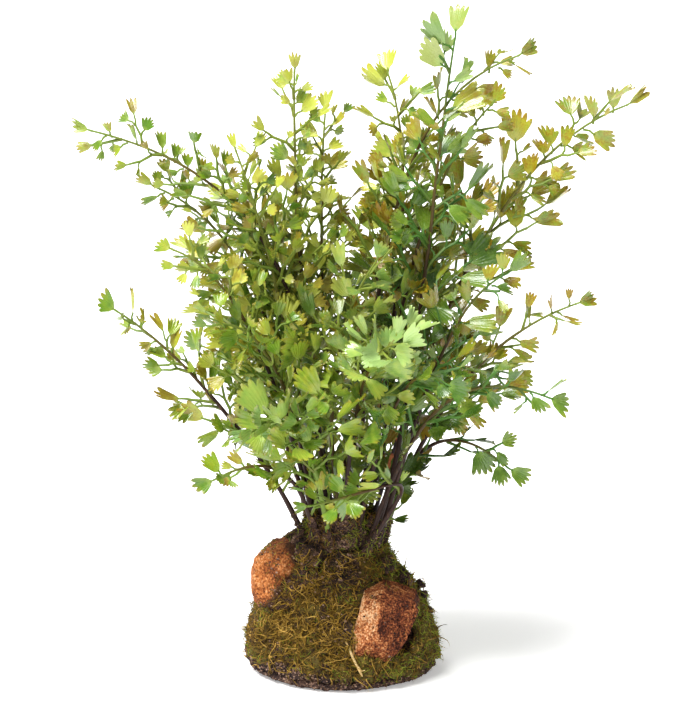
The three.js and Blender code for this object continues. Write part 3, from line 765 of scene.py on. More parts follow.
@dataclass(frozen=True)
class LeafPattern:
    """One outline of a fan-shaped leaf of length 1 that ends in round fingers.

    spread is how far the outermost finger turns aside in degrees, and waist how much wider the fan opens near
    its foot. finger is the mean length of a finger; it and the other sizes are shares of the leaf's length.
    """

    fingers: int
    spread: float
    waist: float
    finger: float
    lopsided: float = 0.0
    cup: float = 0.5
    curl: float = 0.1
    seed: int = 0
    low_row: float = 0.4
    foot_width: float = 0.035
    fullness: float = 0.84
    pleat: float = 0.022
    thickness: float = 0.03

    def _blade_point(self, across: float, radius: float) -> Vector:
        """Gives a point of the fan by its place across, from -1 to 1, and its distance from the foot."""
        angle = math.radians(across * (self.spread + self.waist * (1 - min(radius, 1)) ** 1.5))
        x = radius * math.sin(angle) + self.foot_width * across * (1 - radius)
        return Vector((x, radius * math.cos(angle), 0))

    def _finger_end(self, across: float) -> float:
        """Gives how far from the foot the finger at a place across ends."""
        draw = random.Random(self.seed * 50 + round(across * 100))
        envelope = (1 - 0.1 * across * across) * (1 - self.lopsided * (across + 1) / 2)
        return envelope * draw.uniform(0.93, 1.05)

    def _notch(self, across: float) -> float:
        """Gives how far from the foot the notch at a place across lies."""
        step = 1 / self.fingers
        inner = max(-1 + step, min(1 - step, across))
        draw = random.Random(self.seed * 70 + round(across * 100))
        left = self._finger_end(max(inner - step, -1 + step))
        right = self._finger_end(min(inner + step, 1 - step))
        return (left + right) / 2 * (1 - self.finger * draw.uniform(0.8, 1.2))

    def _finger_point(self, finger: int, side: int, level: int) -> Vector:
        """Gives a point of a finger.

        Args:
            finger: its number from the left.
            side: -1 on its left edge, 0 on its middle, 1 on its right edge.
            level: 1 half way up, 2 at its tip.

        Returns:
            The point.
        """
        step = 1 / self.fingers
        across = -1 + (2 * finger + 1) * step
        left, right = (self._blade_point(edge, self._notch(edge)) for edge in (across - step, across + step))
        base = (left + right) / 2
        turn = math.radians(across * self.spread * 1.15)
        out = Vector((math.sin(turn), math.cos(turn), 0))
        length = max(self._finger_end(across) - base.length, 0.08)
        width = (right - left).length / 2 * (self.fullness if level == 1 else 0.42)
        rise = length * (0.5 if level == 1 else 1.0 if side == 0 else 0.88)
        return base + out * rise + Vector((out.y, -out.x, 0)) * (side * width)

    def _shaped(self, flat: Vector, ridge: bool) -> Vector:
        """Cups and pleats a point of the flat outline."""
        lift = self.pleat * flat.length * (1 if ridge else -1)
        return flat + Vector((0, 0, self.cup * flat.x * flat.x + lift - self.curl * flat.y * flat.y))

    def _sheet(self) -> bpy.types.Object:
        """Models the leaf's flat plan: a grid, and from its far edge each finger extruded twice."""
        deselect_all()
        bpy.ops.mesh.primitive_grid_add(x_subdivisions=2 * self.fingers, y_subdivisions=2, size=2)
        sheet = bpy.context.object
        bpy.ops.object.mode_set(mode="EDIT")
        bpy.ops.mesh.select_mode(type="EDGE")
        for finger in range(self.fingers):
            left = -1 + 2 * finger / self.fingers
            bpy.ops.mesh.select_all(action="DESELECT")
            plan = bmesh.from_edit_mesh(sheet.data)
            for edge in plan.edges:
                middle = (edge.verts[0].co + edge.verts[1].co) / 2
                if abs(middle.y - 1) < 0.01 and left < middle.x < left + 2 / self.fingers:
                    edge.select_set(True)
            bmesh.update_edit_mesh(sheet.data)
            for _ in range(2):
                bpy.ops.mesh.extrude_region_move(TRANSFORM_OT_translate={"value": (0, 1, 0)})
        bpy.ops.mesh.select_mode(type="VERT")
        self._split_corners(bmesh.from_edit_mesh(sheet.data))
        bpy.ops.object.mode_set(mode="OBJECT")
        return sheet

    @staticmethod
    def _split_corners(plan: bmesh.types.BMesh) -> None:
        """Cuts each face with three corners on the rim from its inner one, to keep cuts off the rim."""
        for face in list(plan.faces):
            corners = list(face.verts)
            inner = [i for i, corner in enumerate(corners) if not corner.is_boundary]
            if len(inner) == 1:
                bmesh.utils.face_split(face, corners[inner[0]], corners[inner[0] - 2])

    def model(self) -> Shape:
        """Models the leaf as a thin closed lens with the attributes "margin" and "across"."""
        leaf = self._sheet()
        mesh = leaf.data
        owner = {}
        for face in mesh.polygons:
            finger = math.floor((face.center.x + 1) / 2 * self.fingers)
            owner.update((point, finger) for point in face.vertices if face.center.y > 1)
        margin = mesh.attributes.new("margin", "FLOAT", "POINT")
        across = mesh.attributes.new("across", "FLOAT", "POINT")
        for i, vertex in enumerate(mesh.vertices):
            x, level = vertex.co.x, round(vertex.co.y)
            ridge = round((x + 1) * self.fingers) % 2 == 1
            across.data[i].value = x
            if level > 1:
                side = round((x - (-1 + (2 * owner[i] + 1) / self.fingers)) * self.fingers)
                flat = self._finger_point(owner[i], side, level - 1)
                margin.data[i].value = 0.86 if level == 2 else 1.0
            else:
                radius = self._notch(x) * (1.06 if ridge else 1) * (0, self.low_row, 1)[level + 1]
                flat = self._blade_point(x, radius)
                margin.data[i].value = (0, 0.38, 0.72)[level + 1]
            vertex.co = self._shaped(flat, ridge)
        rim = self._rim_points(mesh)
        front = len(mesh.vertices)
        bpy.ops.object.mode_set(mode="EDIT")
        bpy.ops.mesh.select_all(action="SELECT")
        bpy.ops.mesh.duplicate()
        bpy.ops.mesh.flip_normals()
        bpy.ops.object.mode_set(mode="OBJECT")
        for vertex in mesh.vertices[front:]:
            if vertex.index - front not in rim:
                vertex.co.z -= self.thickness
        join_doubles(0.0005)
        return Shape.of(leaf)

    @staticmethod
    def _rim_points(mesh: bpy.types.Mesh) -> set[int]:
        """Gives the numbers of the points on the open edge of a sheet."""
        uses: dict[tuple[int, int], int] = defaultdict(int)
        for face in mesh.polygons:
            for key in face.edge_keys:
                uses[key] += 1
        return {point for key, count in uses.items() if count == 1 for point in key}


LEAF_PATTERNS = (
    LeafPattern(5, 30, 38, 0.22, cup=0.5, curl=0.06, seed=1),
    LeafPattern(4, 25, 34, 0.27, cup=0.5, curl=-0.1, seed=2),
    LeafPattern(6, 36, 34, 0.22, cup=0.35, curl=0.16, seed=3),
    LeafPattern(4, 22, 36, 0.2, cup=0.7, curl=0.05, seed=4),
    LeafPattern(5, 34, 28, 0.25, lopsided=0.42, cup=0.5, curl=0.12, seed=5),
    LeafPattern(4, 28, 30, 0.28, lopsided=0.3, cup=0.9, curl=-0.05, seed=6),
    LeafPattern(3, 17, 30, 0.24, cup=1.3, curl=0.08, seed=7),
    LeafPattern(5, 28, 40, 0.18, lopsided=0.15, cup=0.9, curl=0.2, seed=8),
)


@dataclass
class Leaf:
    """A leaf in its place: root on the twig, the way it points, the way it faces and its length."""

    root: Vector
    along: Vector
    normal: Vector
    length: float
    twig: Vector

    def centre(self) -> Vector:
        """Gives the middle of the blade."""
        return self.root + self.along * (LEAF.petiole + self.length / 2)


class Canopy:
    """Knows where every leaf is, so that an added leaf finds a free place."""

    CELL = 14.0

    def __init__(self) -> None:
        """Starts with no leaves."""
        self.cells: dict[tuple[int, ...], list[tuple[Vector, float]]] = defaultdict(list)

    def _cell(self, place: Vector) -> tuple[int, ...]:
        """Gives the cell that a place lies in."""
        return tuple(math.floor(value / self.CELL) for value in place)

    def add(self, leaf: Leaf) -> None:
        """Notes a leaf's place."""
        self.cells[self._cell(leaf.centre())].append((leaf.centre(), leaf.length))

    def has_room(self, leaf: Leaf, share: float) -> bool:
        """Says whether a leaf keeps clear of the others.

        Args:
            leaf: the leaf in its place.
            share: how far apart two leaves have to be, as a share of their mean length.

        Returns:
            True where it does.
        """
        centre = leaf.centre()
        home = self._cell(centre)
        for dx in (-1, 0, 1):
            for dy in (-1, 0, 1):
                for dz in (-1, 0, 1):
                    for other, length in self.cells.get((home[0] + dx, home[1] + dy, home[2] + dz), ()):
                        if (other - centre).length < share * (length + leaf.length) / 2:
                            return False
        return True


# ---- Fronds ----


class StemLine:
    """The smooth line of a stem, read by the share of its length."""

    DIVISIONS = 200

    def __init__(self, controls: Sequence[Vector]) -> None:
        """Measures the line.

        Args:
            controls: its four control points.
        """
        self.controls = np.array([tuple(point) for point in controls], float)
        self.times = np.linspace(0, 1, self.DIVISIONS + 1)
        steps = np.diff(self._at(self.times), axis=0)
        self.lengths = np.concatenate(([0.0], np.cumsum(np.linalg.norm(steps, axis=1))))

    def _at(self, times: np.ndarray) -> np.ndarray:
        """Gives the points at some parameters."""
        t = np.atleast_1d(times)[:, None]
        a, b, c, d = self.controls
        return a * (1 - t) ** 3 + 3 * b * t * (1 - t) ** 2 + 3 * c * t * t * (1 - t) + d * t ** 3

    def length(self) -> float:
        """Gives the whole length."""
        return float(self.lengths[-1])

    def point(self, share: float) -> Vector:
        """Gives the point at a share of the length."""
        return Vector(self._at(np.interp(share * self.length(), self.lengths, self.times))[0])

    def tangent(self, share: float) -> Vector:
        """Gives the direction at a share of the length."""
        time = np.interp(share * self.length(), self.lengths, self.times)
        ends = self._at(np.array([max(time - 0.0001, 0), min(time + 0.0001, 1)]))
        return Vector(ends[1] - ends[0]).normalized()


def stem_line(foot: Sequence[float], rise: Sequence[float], bend: Sequence[float], tip: Sequence[float],
              bow: float) -> StemLine:
    """Draws a stem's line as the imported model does, bowed back or forwards."""
    depth = tip[1] - foot[1]
    return StemLine((
        Vector((foot[0], foot[1], STEM.foot_height)),
        Vector((rise[0], foot[1] + depth * STEM.lean_at_rise + bow / 2, rise[1])),
        Vector((bend[0], foot[1] + depth * STEM.lean_at_bend + bow, bend[1])),
        Vector(tip),
    ))


class PackedNode:
    """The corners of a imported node, to find out where its stem, twigs and leaves went."""

    def __init__(self, name: str) -> None:
        """Reads the node's corners in millimetres."""
        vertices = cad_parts[name].data.vertices
        self.tree = KDTree(len(vertices))
        for vertex in vertices:
            self.tree.insert(vertex.co / MM, vertex.index)
        self.tree.balance()

    def distance(self, place: Vector) -> float:
        """Gives how far the nearest corner is."""
        return self.tree.find(place)[2]

    def bowed_line(self, foot: Sequence[float], rise: Sequence[float], bend: Sequence[float],
                   tip: Sequence[float], foot_radius: float) -> StemLine:
        """Finds which of the bowed lines the stem follows."""
        def misfit(line: StemLine) -> float:
            total = 0.0
            for step in (1, 2, 3):
                radius = foot_radius + (STEM.tip_radius - foot_radius) * step / STEM.steps
                total += abs(self.distance(line.point(step / STEM.steps)) - radius)
            return total
        return min((stem_line(foot, rise, bend, tip, bow) for bow in STEM.bows), key=misfit)

    def corners_found(self, leaf: Leaf) -> int:
        """Counts the corners of a leaf's wedge that the node has."""
        side = leaf.along.cross(leaf.normal).normalized()
        facing = side.cross(leaf.along)
        reach = leaf.length + LEAF.petiole
        back = leaf.root + leaf.along * (reach + LEAF.wedge_back[0]) + facing * LEAF.wedge_back[1]
        width = side * (LEAF.wedge_half_width * leaf.length)
        keel = leaf.root + leaf.along * (reach + LEAF.wedge_keel[0]) + facing * LEAF.wedge_keel[1]
        return sum(self.distance(corner) < FOUND_WITHIN for corner in (back + width, back - width, keel))


@dataclass
class Twig:
    """A twig in its place with its leaves."""

    start: Vector
    end: Vector
    normal: Vector
    leaf_length: float
    leaves: list[Leaf] = field(default_factory=list)


class FrondBuilder:
    """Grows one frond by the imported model's rules, fills it out and dresses it."""

    ADDED_SWINGS = (0, 180, 45, -45, 90, -90, 135)
    FILL_PITCH = {Tint.FRESH_LIT: 8.5, Tint.GREEN: 9.0, Tint.DEEP_SHADED: 11.0, Tint.GOLD: 11.0}
    ADDED_TWIG_PITCH = {Tint.FRESH_LIT: 10.0, Tint.GREEN: 13.0, Tint.DEEP_SHADED: 21.0, Tint.GOLD: 19.0}
    LOW_TWIG_PITCH = 30.0
    LOW_TWIG_LENGTH = (8.0, 18.0)
    LOWEST = 0.12
    TWIG_RADII = (1.1, 0.78)
    PETIOLE_RADII = (0.74, 0.67, 0.6, 0.3)
    ADDED_TWIG_TURN = 137.5
    KEEP_APART = 0.66
    TIP_GROWTH = 3.0
    HIGHEST = 0.96
    ADDED_TAPER = 0.66
    LEAST_REACH = 26
    SHORTEST_TWIG = 7
    ADDED_OPENING = (34, 56)
    FILL_SIZE = (0.68, 0.98)
    FILL_WANDER = 14
    SWING_WANDER = 16
    BLADE_GROWTH = (0.66, 1.35, 1.0)
    BLADE_WIDTH = (0.85, 1.08)
    BLADE_CUP = (0.9, 2.1)
    PALE_WITHIN = (42, 25)
    CROWN_MIDDLE = Vector((20, 2))
    STEM_RINGS = 34
    STEM_WAVER = 0.7
    STEM_SWELLING = 0.06
    STALK_TONES = {Tint.FRESH_LIT: 0.0, Tint.GREEN: 0.4, Tint.GOLD: 0.25, Tint.DEEP_SHADED: 1.0}

    def __init__(self, frond: Frond, index: int, canopy: Canopy) -> None:
        """Finds the frond's stem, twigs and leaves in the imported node.

        Args:
            frond: its sizes.
            index: its number, which gives its random draws.
            canopy: where its leaves are noted.
        """
        self.frond = frond
        self.index = index
        self.canopy = canopy
        self.draw = random.Random(index + 1)
        self.packed = PackedNode("frond_" + frond.name)
        self.line = self.packed.bowed_line(frond.foot, frond.rise, frond.bend, frond.tip, STEM.foot_radius)
        self.joints = [self.line.point(step / STEM.steps) for step in range(STEM.steps + 1)]
        face = math.radians(frond.face)
        self.face = Vector((math.cos(face), math.sin(face), 0))
        self.twigs = self._find_twigs()
        self.crown = self._find_crown()
        tip = Vector(frond.tip)
        self.tip_leaf = min(self.crown, key=lambda leaf: (leaf.root - tip).length, default=None)

    def _leaves_along(self, start: Vector, end: Vector, normal: Vector, length: float, seed: int,
                      ends_free: bool) -> tuple[list[Leaf], int]:
        """Finds the leaves along a stretch, and the number of corners that proved them."""
        stretch = end - start
        along = stretch.normalized()
        count = nearest_whole(stretch.length / LEAF.pitch - (0.5 if ends_free else 0))
        leaves: list[Leaf] = []
        proof = 0
        for j in range(count + (1 if ends_free else 0)):
            at_end = j == count
            side = 1 if (j + seed) % 2 else -1
            angle = wander(seed + j, LEAF.wander) + (0 if at_end else side * LEAF.angle)
            points = turned(along, normal, angle)
            size = LEAF.end_size if at_end else LEAF.smallest + LEAF.size_range * chance(seed + j + 0.25)
            faces = turned(normal, points, wander(seed + j + 0.5, LEAF.tilt))
            root = start.lerp(end, LEAF.end_share if at_end else (j + 0.5) / count)
            found = 0
            for swing in SWINGS:
                leaf = Leaf(root, turned(points, along, swing), turned(faces, along, swing), length * size,
                            along)
                found = self.packed.corners_found(leaf)
                if found:
                    leaves.append(leaf)
                    proof += found
                    break
        return leaves, proof

    def _find_twigs(self) -> list[Twig]:
        """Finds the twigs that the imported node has."""
        frond = self.frond
        leafy = 1 - STEM.crown_steps / STEM.steps - frond.bare
        count = nearest_whole(self.line.length() * leafy / TWIG.pitch)
        twigs = []
        for i in range(count):
            seed = self.index * 1000 + i * 40
            share = frond.bare + leafy * (i + 0.3) / count
            taper = 1 - TWIG.thinning * i / count
            length = frond.reach * taper * (1 + wander(seed, TWIG.length_wander))
            leaf_length = frond.leaf * LEAF.share_on(taper)
            twig = self._find_twig(share, 1 if i % 2 else -1, length, leaf_length, seed)
            if twig:
                twigs.append(twig)
        return twigs

    def _find_twig(self, share: float, side: int, length: float, leaf_length: float,
                   seed: int) -> Twig | None:
        """Finds one twig: the turned position that most of the node's corners prove."""
        place = share * STEM.steps
        step = math.floor(place)
        start = self.joints[step].lerp(self.joints[step + 1], place - step)
        tangent = self.line.tangent(share)
        across = tangent.cross(self.face).normalized()
        normal = across.cross(tangent)
        opening = math.radians(TWIG.angle + wander(seed + 0.7, TWIG.wander))
        straight = tangent * math.cos(opening) + across * (side * math.sin(opening))
        best: Twig | None = None
        most = 0
        for swing in SWINGS:
            direction = turned(straight, tangent, swing + wander(seed + 0.3, TWIG.roll))
            end = start + direction * length
            twig_normal = turned(normal, direction, wander(seed + 0.9, LEAF.roll))
            leaves, proof = self._leaves_along(start, end, twig_normal, leaf_length, seed + 1, True)
            if abs(self.packed.distance(end) - TWIG.tip_radius) < FOUND_WITHIN:
                proof += 1
            if proof > most:
                most = proof
                best = Twig(start, end, twig_normal, leaf_length, leaves)
        return best

    def _find_crown(self) -> list[Leaf]:
        """Finds the leaves on the last stretch of the stem."""
        leaves: list[Leaf] = []
        for step in range(STEM.steps - STEM.crown_steps, STEM.steps):
            seed = self.index * 1000 + 900 + step * 10
            found, _ = self._leaves_along(self.joints[step], self.joints[step + 1], self.face,
                                          self.frond.leaf, seed, step == STEM.steps - 1)
            leaves.extend(found)
        return leaves

    def note_leaves(self) -> None:
        """Tells the canopy where the leaves are."""
        for leaf in [*self.crown, *(leaf for twig in self.twigs for leaf in twig.leaves)]:
            self.canopy.add(leaf)

    def fill_out(self) -> None:
        """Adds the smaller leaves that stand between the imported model's, wherever there is room."""
        for twig in self.twigs:
            self._fill_stretch(twig.start, twig.end, twig.normal, twig.leaf_length, twig.leaves)
        for step in range(STEM.steps - STEM.crown_steps, STEM.steps):
            self._fill_stretch(self.joints[step], self.joints[step + 1], self.face, self.frond.leaf,
                               self.crown)
        self._add_twigs()

    def _add_twigs(self) -> None:
        """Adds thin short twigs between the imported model's, up to near the tip, and a few low on the stem."""
        frond = self.frond
        leafy = frond.bare - 0.1
        for share in self._shares(self.LOWEST, leafy, self.LOW_TWIG_PITCH):
            self._add_twig(share, self.draw.uniform(*self.LOW_TWIG_LENGTH), frond.leaf)
        for share in self._shares(leafy, self.HIGHEST, self.ADDED_TWIG_PITCH[frond.tint]):
            taper = 1 - self.ADDED_TAPER * max(0.0, (share - frond.bare) / (1 - frond.bare))
            length = max(frond.reach, self.LEAST_REACH) * taper * self.draw.uniform(0.5, 0.9)
            if length > self.SHORTEST_TWIG:
                self._add_twig(share, length, frond.leaf * LEAF.share_on(taper))

    def _shares(self, low: float, high: float, pitch: float) -> list[float]:
        """Gives the even places between two shares of the stem, about a pitch apart."""
        count = round(self.line.length() * (high - low) / pitch)
        return [low + (high - low) * (i + 0.5) / count for i in range(count)]

    def _add_twig(self, share: float, length: float, size: float) -> None:
        """Adds one twig if any of its leaves finds room.

        Args:
            share: where it stands on the stem.
            length: how long it is.
            size: the length of its leaves.
        """
        start = self.line.point(share)
        tangent = self.line.tangent(share)
        turn = self.index * 50 + len(self.twigs) * self.ADDED_TWIG_TURN
        out = turned(tangent.cross(self.face).normalized(), tangent, turn)
        opening = math.radians(self.draw.uniform(*self.ADDED_OPENING))
        direction = tangent * math.cos(opening) + out * math.sin(opening)
        normal = self._facing(direction)
        end = start + direction * length
        twig = Twig(start, end, normal, size)
        self._fill_stretch(start, end, normal, size, twig.leaves)
        last = Leaf(start.lerp(end, LEAF.end_share), direction, normal, size * 1.05, direction)
        if self.canopy.has_room(last, self.KEEP_APART):
            self.canopy.add(last)
            twig.leaves.append(last)
        if twig.leaves:
            self.twigs.append(twig)

    def _facing(self, direction: Vector) -> Vector:
        """Gives a way to face that is square to a direction: outwards and up, with some disorder."""
        disorder = Vector((self.draw.gauss(0, 0.4), self.draw.gauss(0, 0.4), self.draw.gauss(0, 0.3)))
        wish = self.face * 0.8 + UP * 0.5 + disorder
        return (wish - direction * wish.dot(direction)).normalized()

    def _fill_stretch(self, start: Vector, end: Vector, normal: Vector, length: float,
                      leaves: list[Leaf]) -> None:
        """Adds leaves along one stretch."""
        stretch = end - start
        along = stretch.normalized()
        pitch = self.FILL_PITCH[self.frond.tint]
        count = max(round(stretch.length / pitch), 1)
        for i in range(count):
            root = start.lerp(end, (i + 0.75) / (count + 0.2))
            if any((leaf.root - root).length < 0.35 * pitch for leaf in leaves):
                continue
            side = 1 if i % 2 else -1
            size = length * self.draw.uniform(*self.FILL_SIZE)
            aside = side * LEAF.angle + self.draw.uniform(-self.FILL_WANDER, self.FILL_WANDER)
            points = turned(along, normal, aside)
            for swing in self.ADDED_SWINGS:
                swing += self.draw.uniform(-self.SWING_WANDER, self.SWING_WANDER)
                leaf = Leaf(root, turned(points, along, swing), turned(normal, along, swing), size, along)
                if self.canopy.has_room(leaf, self.KEEP_APART):
                    self.canopy.add(leaf)
                    leaves.append(leaf)
                    break

    def _leaf_shape(self, leaf: Leaf, patterns: Sequence[Shape]) -> tuple[Shape, Path]:
        """Places one blade with a little disorder, and draws its petiole.

        Args:
            leaf: the leaf in its place.
            patterns: the blades that were modelled once.

        Returns:
            The blade, and the petiole's path.
        """
        draw = self.draw
        side = leaf.along.cross(leaf.normal).normalized()
        along = turned(leaf.along, side, draw.gauss(0, 14))
        facing = turned(side.cross(along), along, draw.gauss(0, 12 if leaf is self.tip_leaf else 40))
        if facing.z < -0.15 and draw.random() < 0.8:
            facing = -facing
        side = along.cross(facing).normalized()
        facing = side.cross(along)
        petiole = LEAF.petiole + leaf.length * draw.uniform(0.0, 0.42)
        foot = leaf.root + leaf.along * petiole
        length = leaf.length * self.frond.growth * draw.triangular(*self.BLADE_GROWTH)
        from_tip = (leaf.root - Vector(self.frond.tip)).length
        pale = self.frond.mint * ramp(from_tip, *self.PALE_WITHIN) * draw.uniform(0.4, 1)
        length *= 1 + 0.25 * pale
        if leaf is self.tip_leaf:
            petiole = LEAF.petiole
            foot = leaf.root + leaf.along * petiole
            length = min(length, leaf.length + self.TIP_GROWTH)
        width = length * draw.uniform(*self.BLADE_WIDTH)
        depth = length * draw.uniform(*self.BLADE_CUP)
        matrix = Matrix((side * width, along * length, facing * depth)).transposed().to_4x4()
        matrix.translation = foot
        scaled = Matrix.Scale(MM, 4) @ matrix
        low, high = self.frond.shades
        # old is the painted shade of leaves deep inside the crown.
        shape = draw.choice(patterns).placed(scaled, shade=low + (high - low) * draw.random(), pale=pale,
                                             old=self._painted_shade_inside(leaf.root) * draw.uniform(0.5, 1))
        middle = leaf.root.lerp(foot, 0.5) + leaf.twig * (0.18 * petiole)
        path = Path([leaf.root, middle, foot, foot + along * (0.1 * length)], list(self.PETIOLE_RADII),
                    [0.9, 0.95, 1.0, 1.0])
        return shape, path

    def _painted_shade_inside(self, place: Vector) -> float:
        """Says how deep inside the crown a place lies, from 0 at its outside to 1, which is how much painted
        shade its leaves get.
        """
        reach = math.hypot(place.x - self.CROWN_MIDDLE.x, place.y - self.CROWN_MIDDLE.y)
        return ramp(reach, 33 + 0.3 * (place.z - 90), 16) * ramp(place.z, 280, 200)

    def _twig_path(self, twig: Twig) -> Path:
        """Draws a twig that turns a little away from each of its leaves, and moves their roots onto it."""
        stretch = twig.end - twig.start
        along = stretch.normalized()
        twig.leaves.sort(key=lambda leaf: (leaf.root - twig.start).dot(along))
        points = [twig.start]
        for leaf in twig.leaves:
            share = (leaf.root - twig.start).dot(along) / stretch.length
            if share > 0.93:
                continue
            sideways = (leaf.along - along * leaf.along.dot(along)).normalized()
            arch = UP * (0.05 * stretch.length * math.sin(math.pi * share))
            leaf.root = leaf.root + sideways * 0.8 + arch
            points.append(leaf.root.copy())
        points.append(twig.end)
        shares = [(point - twig.start).length / stretch.length for point in points]
        foot, tip = self.TWIG_RADII
        radii = [foot + (tip - foot) * share for share in shares]
        return Path(points, radii, [0.72 + 0.22 * share for share in shares])

    def _stem_path(self) -> Path:
        """Draws the stem with a slight waver, from inside the ball to its tip."""
        foot_age = 0.56 * chance(self.index + 0.5) ** 1.5
        points, radii, ages = [], [], []
        for i in range(self.STEM_RINGS + 1):
            share = i / self.STEM_RINGS
            waver = self.STEM_WAVER * math.sin(math.pi * share)
            offset = noise.noise_vector(Vector((share * 9, self.index * 3.7, 0))) * waver
            points.append(self.line.point(share) + Vector((offset.x, offset.y, 0)))
            swelling = 1 + self.STEM_SWELLING * math.sin(share * 47 + self.index)
            radii.append((STEM.foot_radius + (STEM.tip_radius - STEM.foot_radius) * share) * swelling)
            if self.frond.young == 1:
                ages.append(0.9 + 0.1 * share)
            else:
                ages.append(foot_age + (0.9 - foot_age) * share ** (2.5 - self.frond.young))
        return Path(points, radii, ages)

    def build(self, patterns: Sequence[Shape], blade: bpy.types.Material,
              stalk: bpy.types.Material) -> None:
        """Makes the frond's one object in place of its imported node.

        Args:
            patterns: the blades that were modelled once.
            blade: the leaves' material.
            stalk: the material of stem, twigs and petioles.
        """
        tone = self.STALK_TONES[self.frond.tint]
        thin = [self._twig_path(twig) for twig in self.twigs]
        blades = []
        for leaf in [*self.crown, *(leaf for twig in self.twigs for leaf in twig.leaves)]:
            shape, path = self._leaf_shape(leaf, patterns)
            blades.append(shape)
            thin.append(path)
        stalks = [tubes([self._stem_path()], 3, 1, tone=tone), tubes(thin, 0, 1, tone=tone)]
        piece = build_object("fern_" + self.frond.name, [*blades, *stalks], [blade, stalk])
        hand_over(piece, 55, "frond_" + self.frond.name)


class Fern:
    """The whole crown of fronds."""

    def __init__(self) -> None:
        """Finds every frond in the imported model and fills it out."""
        canopy = Canopy()
        self.builders = [FrondBuilder(frond, index, canopy) for index, frond in enumerate(FRONDS)]
        for builder in self.builders:
            builder.note_leaves()
        known = sum(len(cell) for cell in canopy.cells.values())
        for builder in self.builders:
            builder.fill_out()
        LOG.info("%d leaves in the packed model, %d with the added ones", known,
                 sum(len(cell) for cell in canopy.cells.values()))

    def stem_lines(self) -> list[StemLine]:
        """Gives the line of every stem."""
        return [builder.line for builder in self.builders]

    def build(self) -> None:
        """Dresses every frond."""
        patterns = []
        for pattern in LEAF_PATTERNS:
            shape = pattern.model()
            patterns.extend((shape, shape.mirrored()))
        blades = {tint: finish.make() for tint, finish in LEAF_FINISHES.items()}
        stalk = StalkFinish().make()
        for builder in self.builders:
            builder.build(patterns, blades[builder.frond.tint], stalk)


# ---- The ball: soil, moss, stones, straw and the broken stem ----


def fractal(place: Vector, size_mm: float, offset: float = 0.0) -> float:
    """Gives soft noise from about -1 to 1 for a place in metres.

    Args:
        place: where, in metres.
        size_mm: the width of its lumps.
        offset: another number gives other lumps.

    Returns:
        The noise there.
    """
    return noise.fractal(place / (size_mm * MM) + Vector((offset, 0, 0)), 0.8, 2.0, 3)


def pits(place: Vector, size_mm: float, share: float, offset: float = 0.0) -> float:
    """Gives how deep a place lies in round pits, from 0 outside them to 1 at their middles.

    Args:
        place: where, in metres.
        size_mm: the mean distance between pits.
        share: the width of a pit as a share of that distance.
        offset: another number gives other pits.

    Returns:
        The depth there.
    """
    distance = noise.voronoi(place / (size_mm * MM) + Vector((offset, 0, 0)))[0][0]
    return max(0.0, 1 - (distance / share) ** 2)


def roughened(thing: bpy.types.Object, relief: "Relief") -> None:
    """Moves each point of a mesh along its normal, and notes the painted shade of its hollows and its shade as
    attributes.

    Args:
        thing: the object, in place.
        relief: gives the move in millimetres, the painted shade of the hollows and the shade for a point and
            its normal.
    """
    mesh = thing.data
    normals = [vertex.normal.copy() for vertex in mesh.vertices]
    hollow = mesh.attributes.new("hollow", "FLOAT", "POINT")
    shade = mesh.attributes.new("shade", "FLOAT", "POINT")
    for vertex, normal in zip(mesh.vertices, normals):
        move, hollow.data[vertex.index].value, shade.data[vertex.index].value = relief.at(vertex.co, normal)
        vertex.co = vertex.co + normal * (move * MM)
        vertex.co.z = max(vertex.co.z, relief.floor_mm * MM)
    mesh.update()


@dataclass(frozen=True)
class Relief:
    """An uneven surface: sizes and heights in millimetres."""

    lump: float = 6.0
    lump_height: float = 1.0
    grain: float = 2.0
    grain_height: float = 0.4
    pit: float = 0.0
    pit_width: float = 0.45
    pit_depth: float = 0.0
    floor_mm: float = -1.0
    foot_kept: bool = False
    outer_only: bool = False
    shade: float = 0.5
    # how much paler the faces that look to the left are painted, as if lit by the key light: painted light
    painted_left_light: float = 0.0

    def at(self, place: Vector, normal: Vector) -> tuple[float, float, float]:
        """Gives the move, the painted shade of the hollows and the shade at a point."""
        lump = fractal(place, self.lump)
        grain = fractal(place, self.grain, 7.3)
        depth = 0.0
        if self.pit:
            patch = 0.5 + 0.5 * fractal(place, self.pit * 4, 3.1)
            depth = pits(place, self.pit, self.pit_width * (0.4 + patch))
            depth = max(depth, 0.6 * pits(place, self.pit / 2.6, self.pit_width, 5.5))
        move = lump * self.lump_height + grain * self.grain_height - depth * self.pit_depth
        if self.foot_kept and place.z < 0.6 * MM and normal.z < -0.5:
            move = 0.0
        outwards = normal.x * place.x + normal.y * place.y
        if self.outer_only and outwards < 0:
            move = 0.0
        # The pits and the low parts of the grain are painted darker: painted shade.
        hollow = min(1.0, 0.75 * depth + max(0.0, -grain) * 0.5)
        # The shade is made paler on the faces that look to the left: painted light.
        return move, hollow, self.shade + 0.3 * lump - self.painted_left_light * normal.x


Hit = tuple[Vector, Vector, str]  # a place in metres, its normal, and the name of what is there


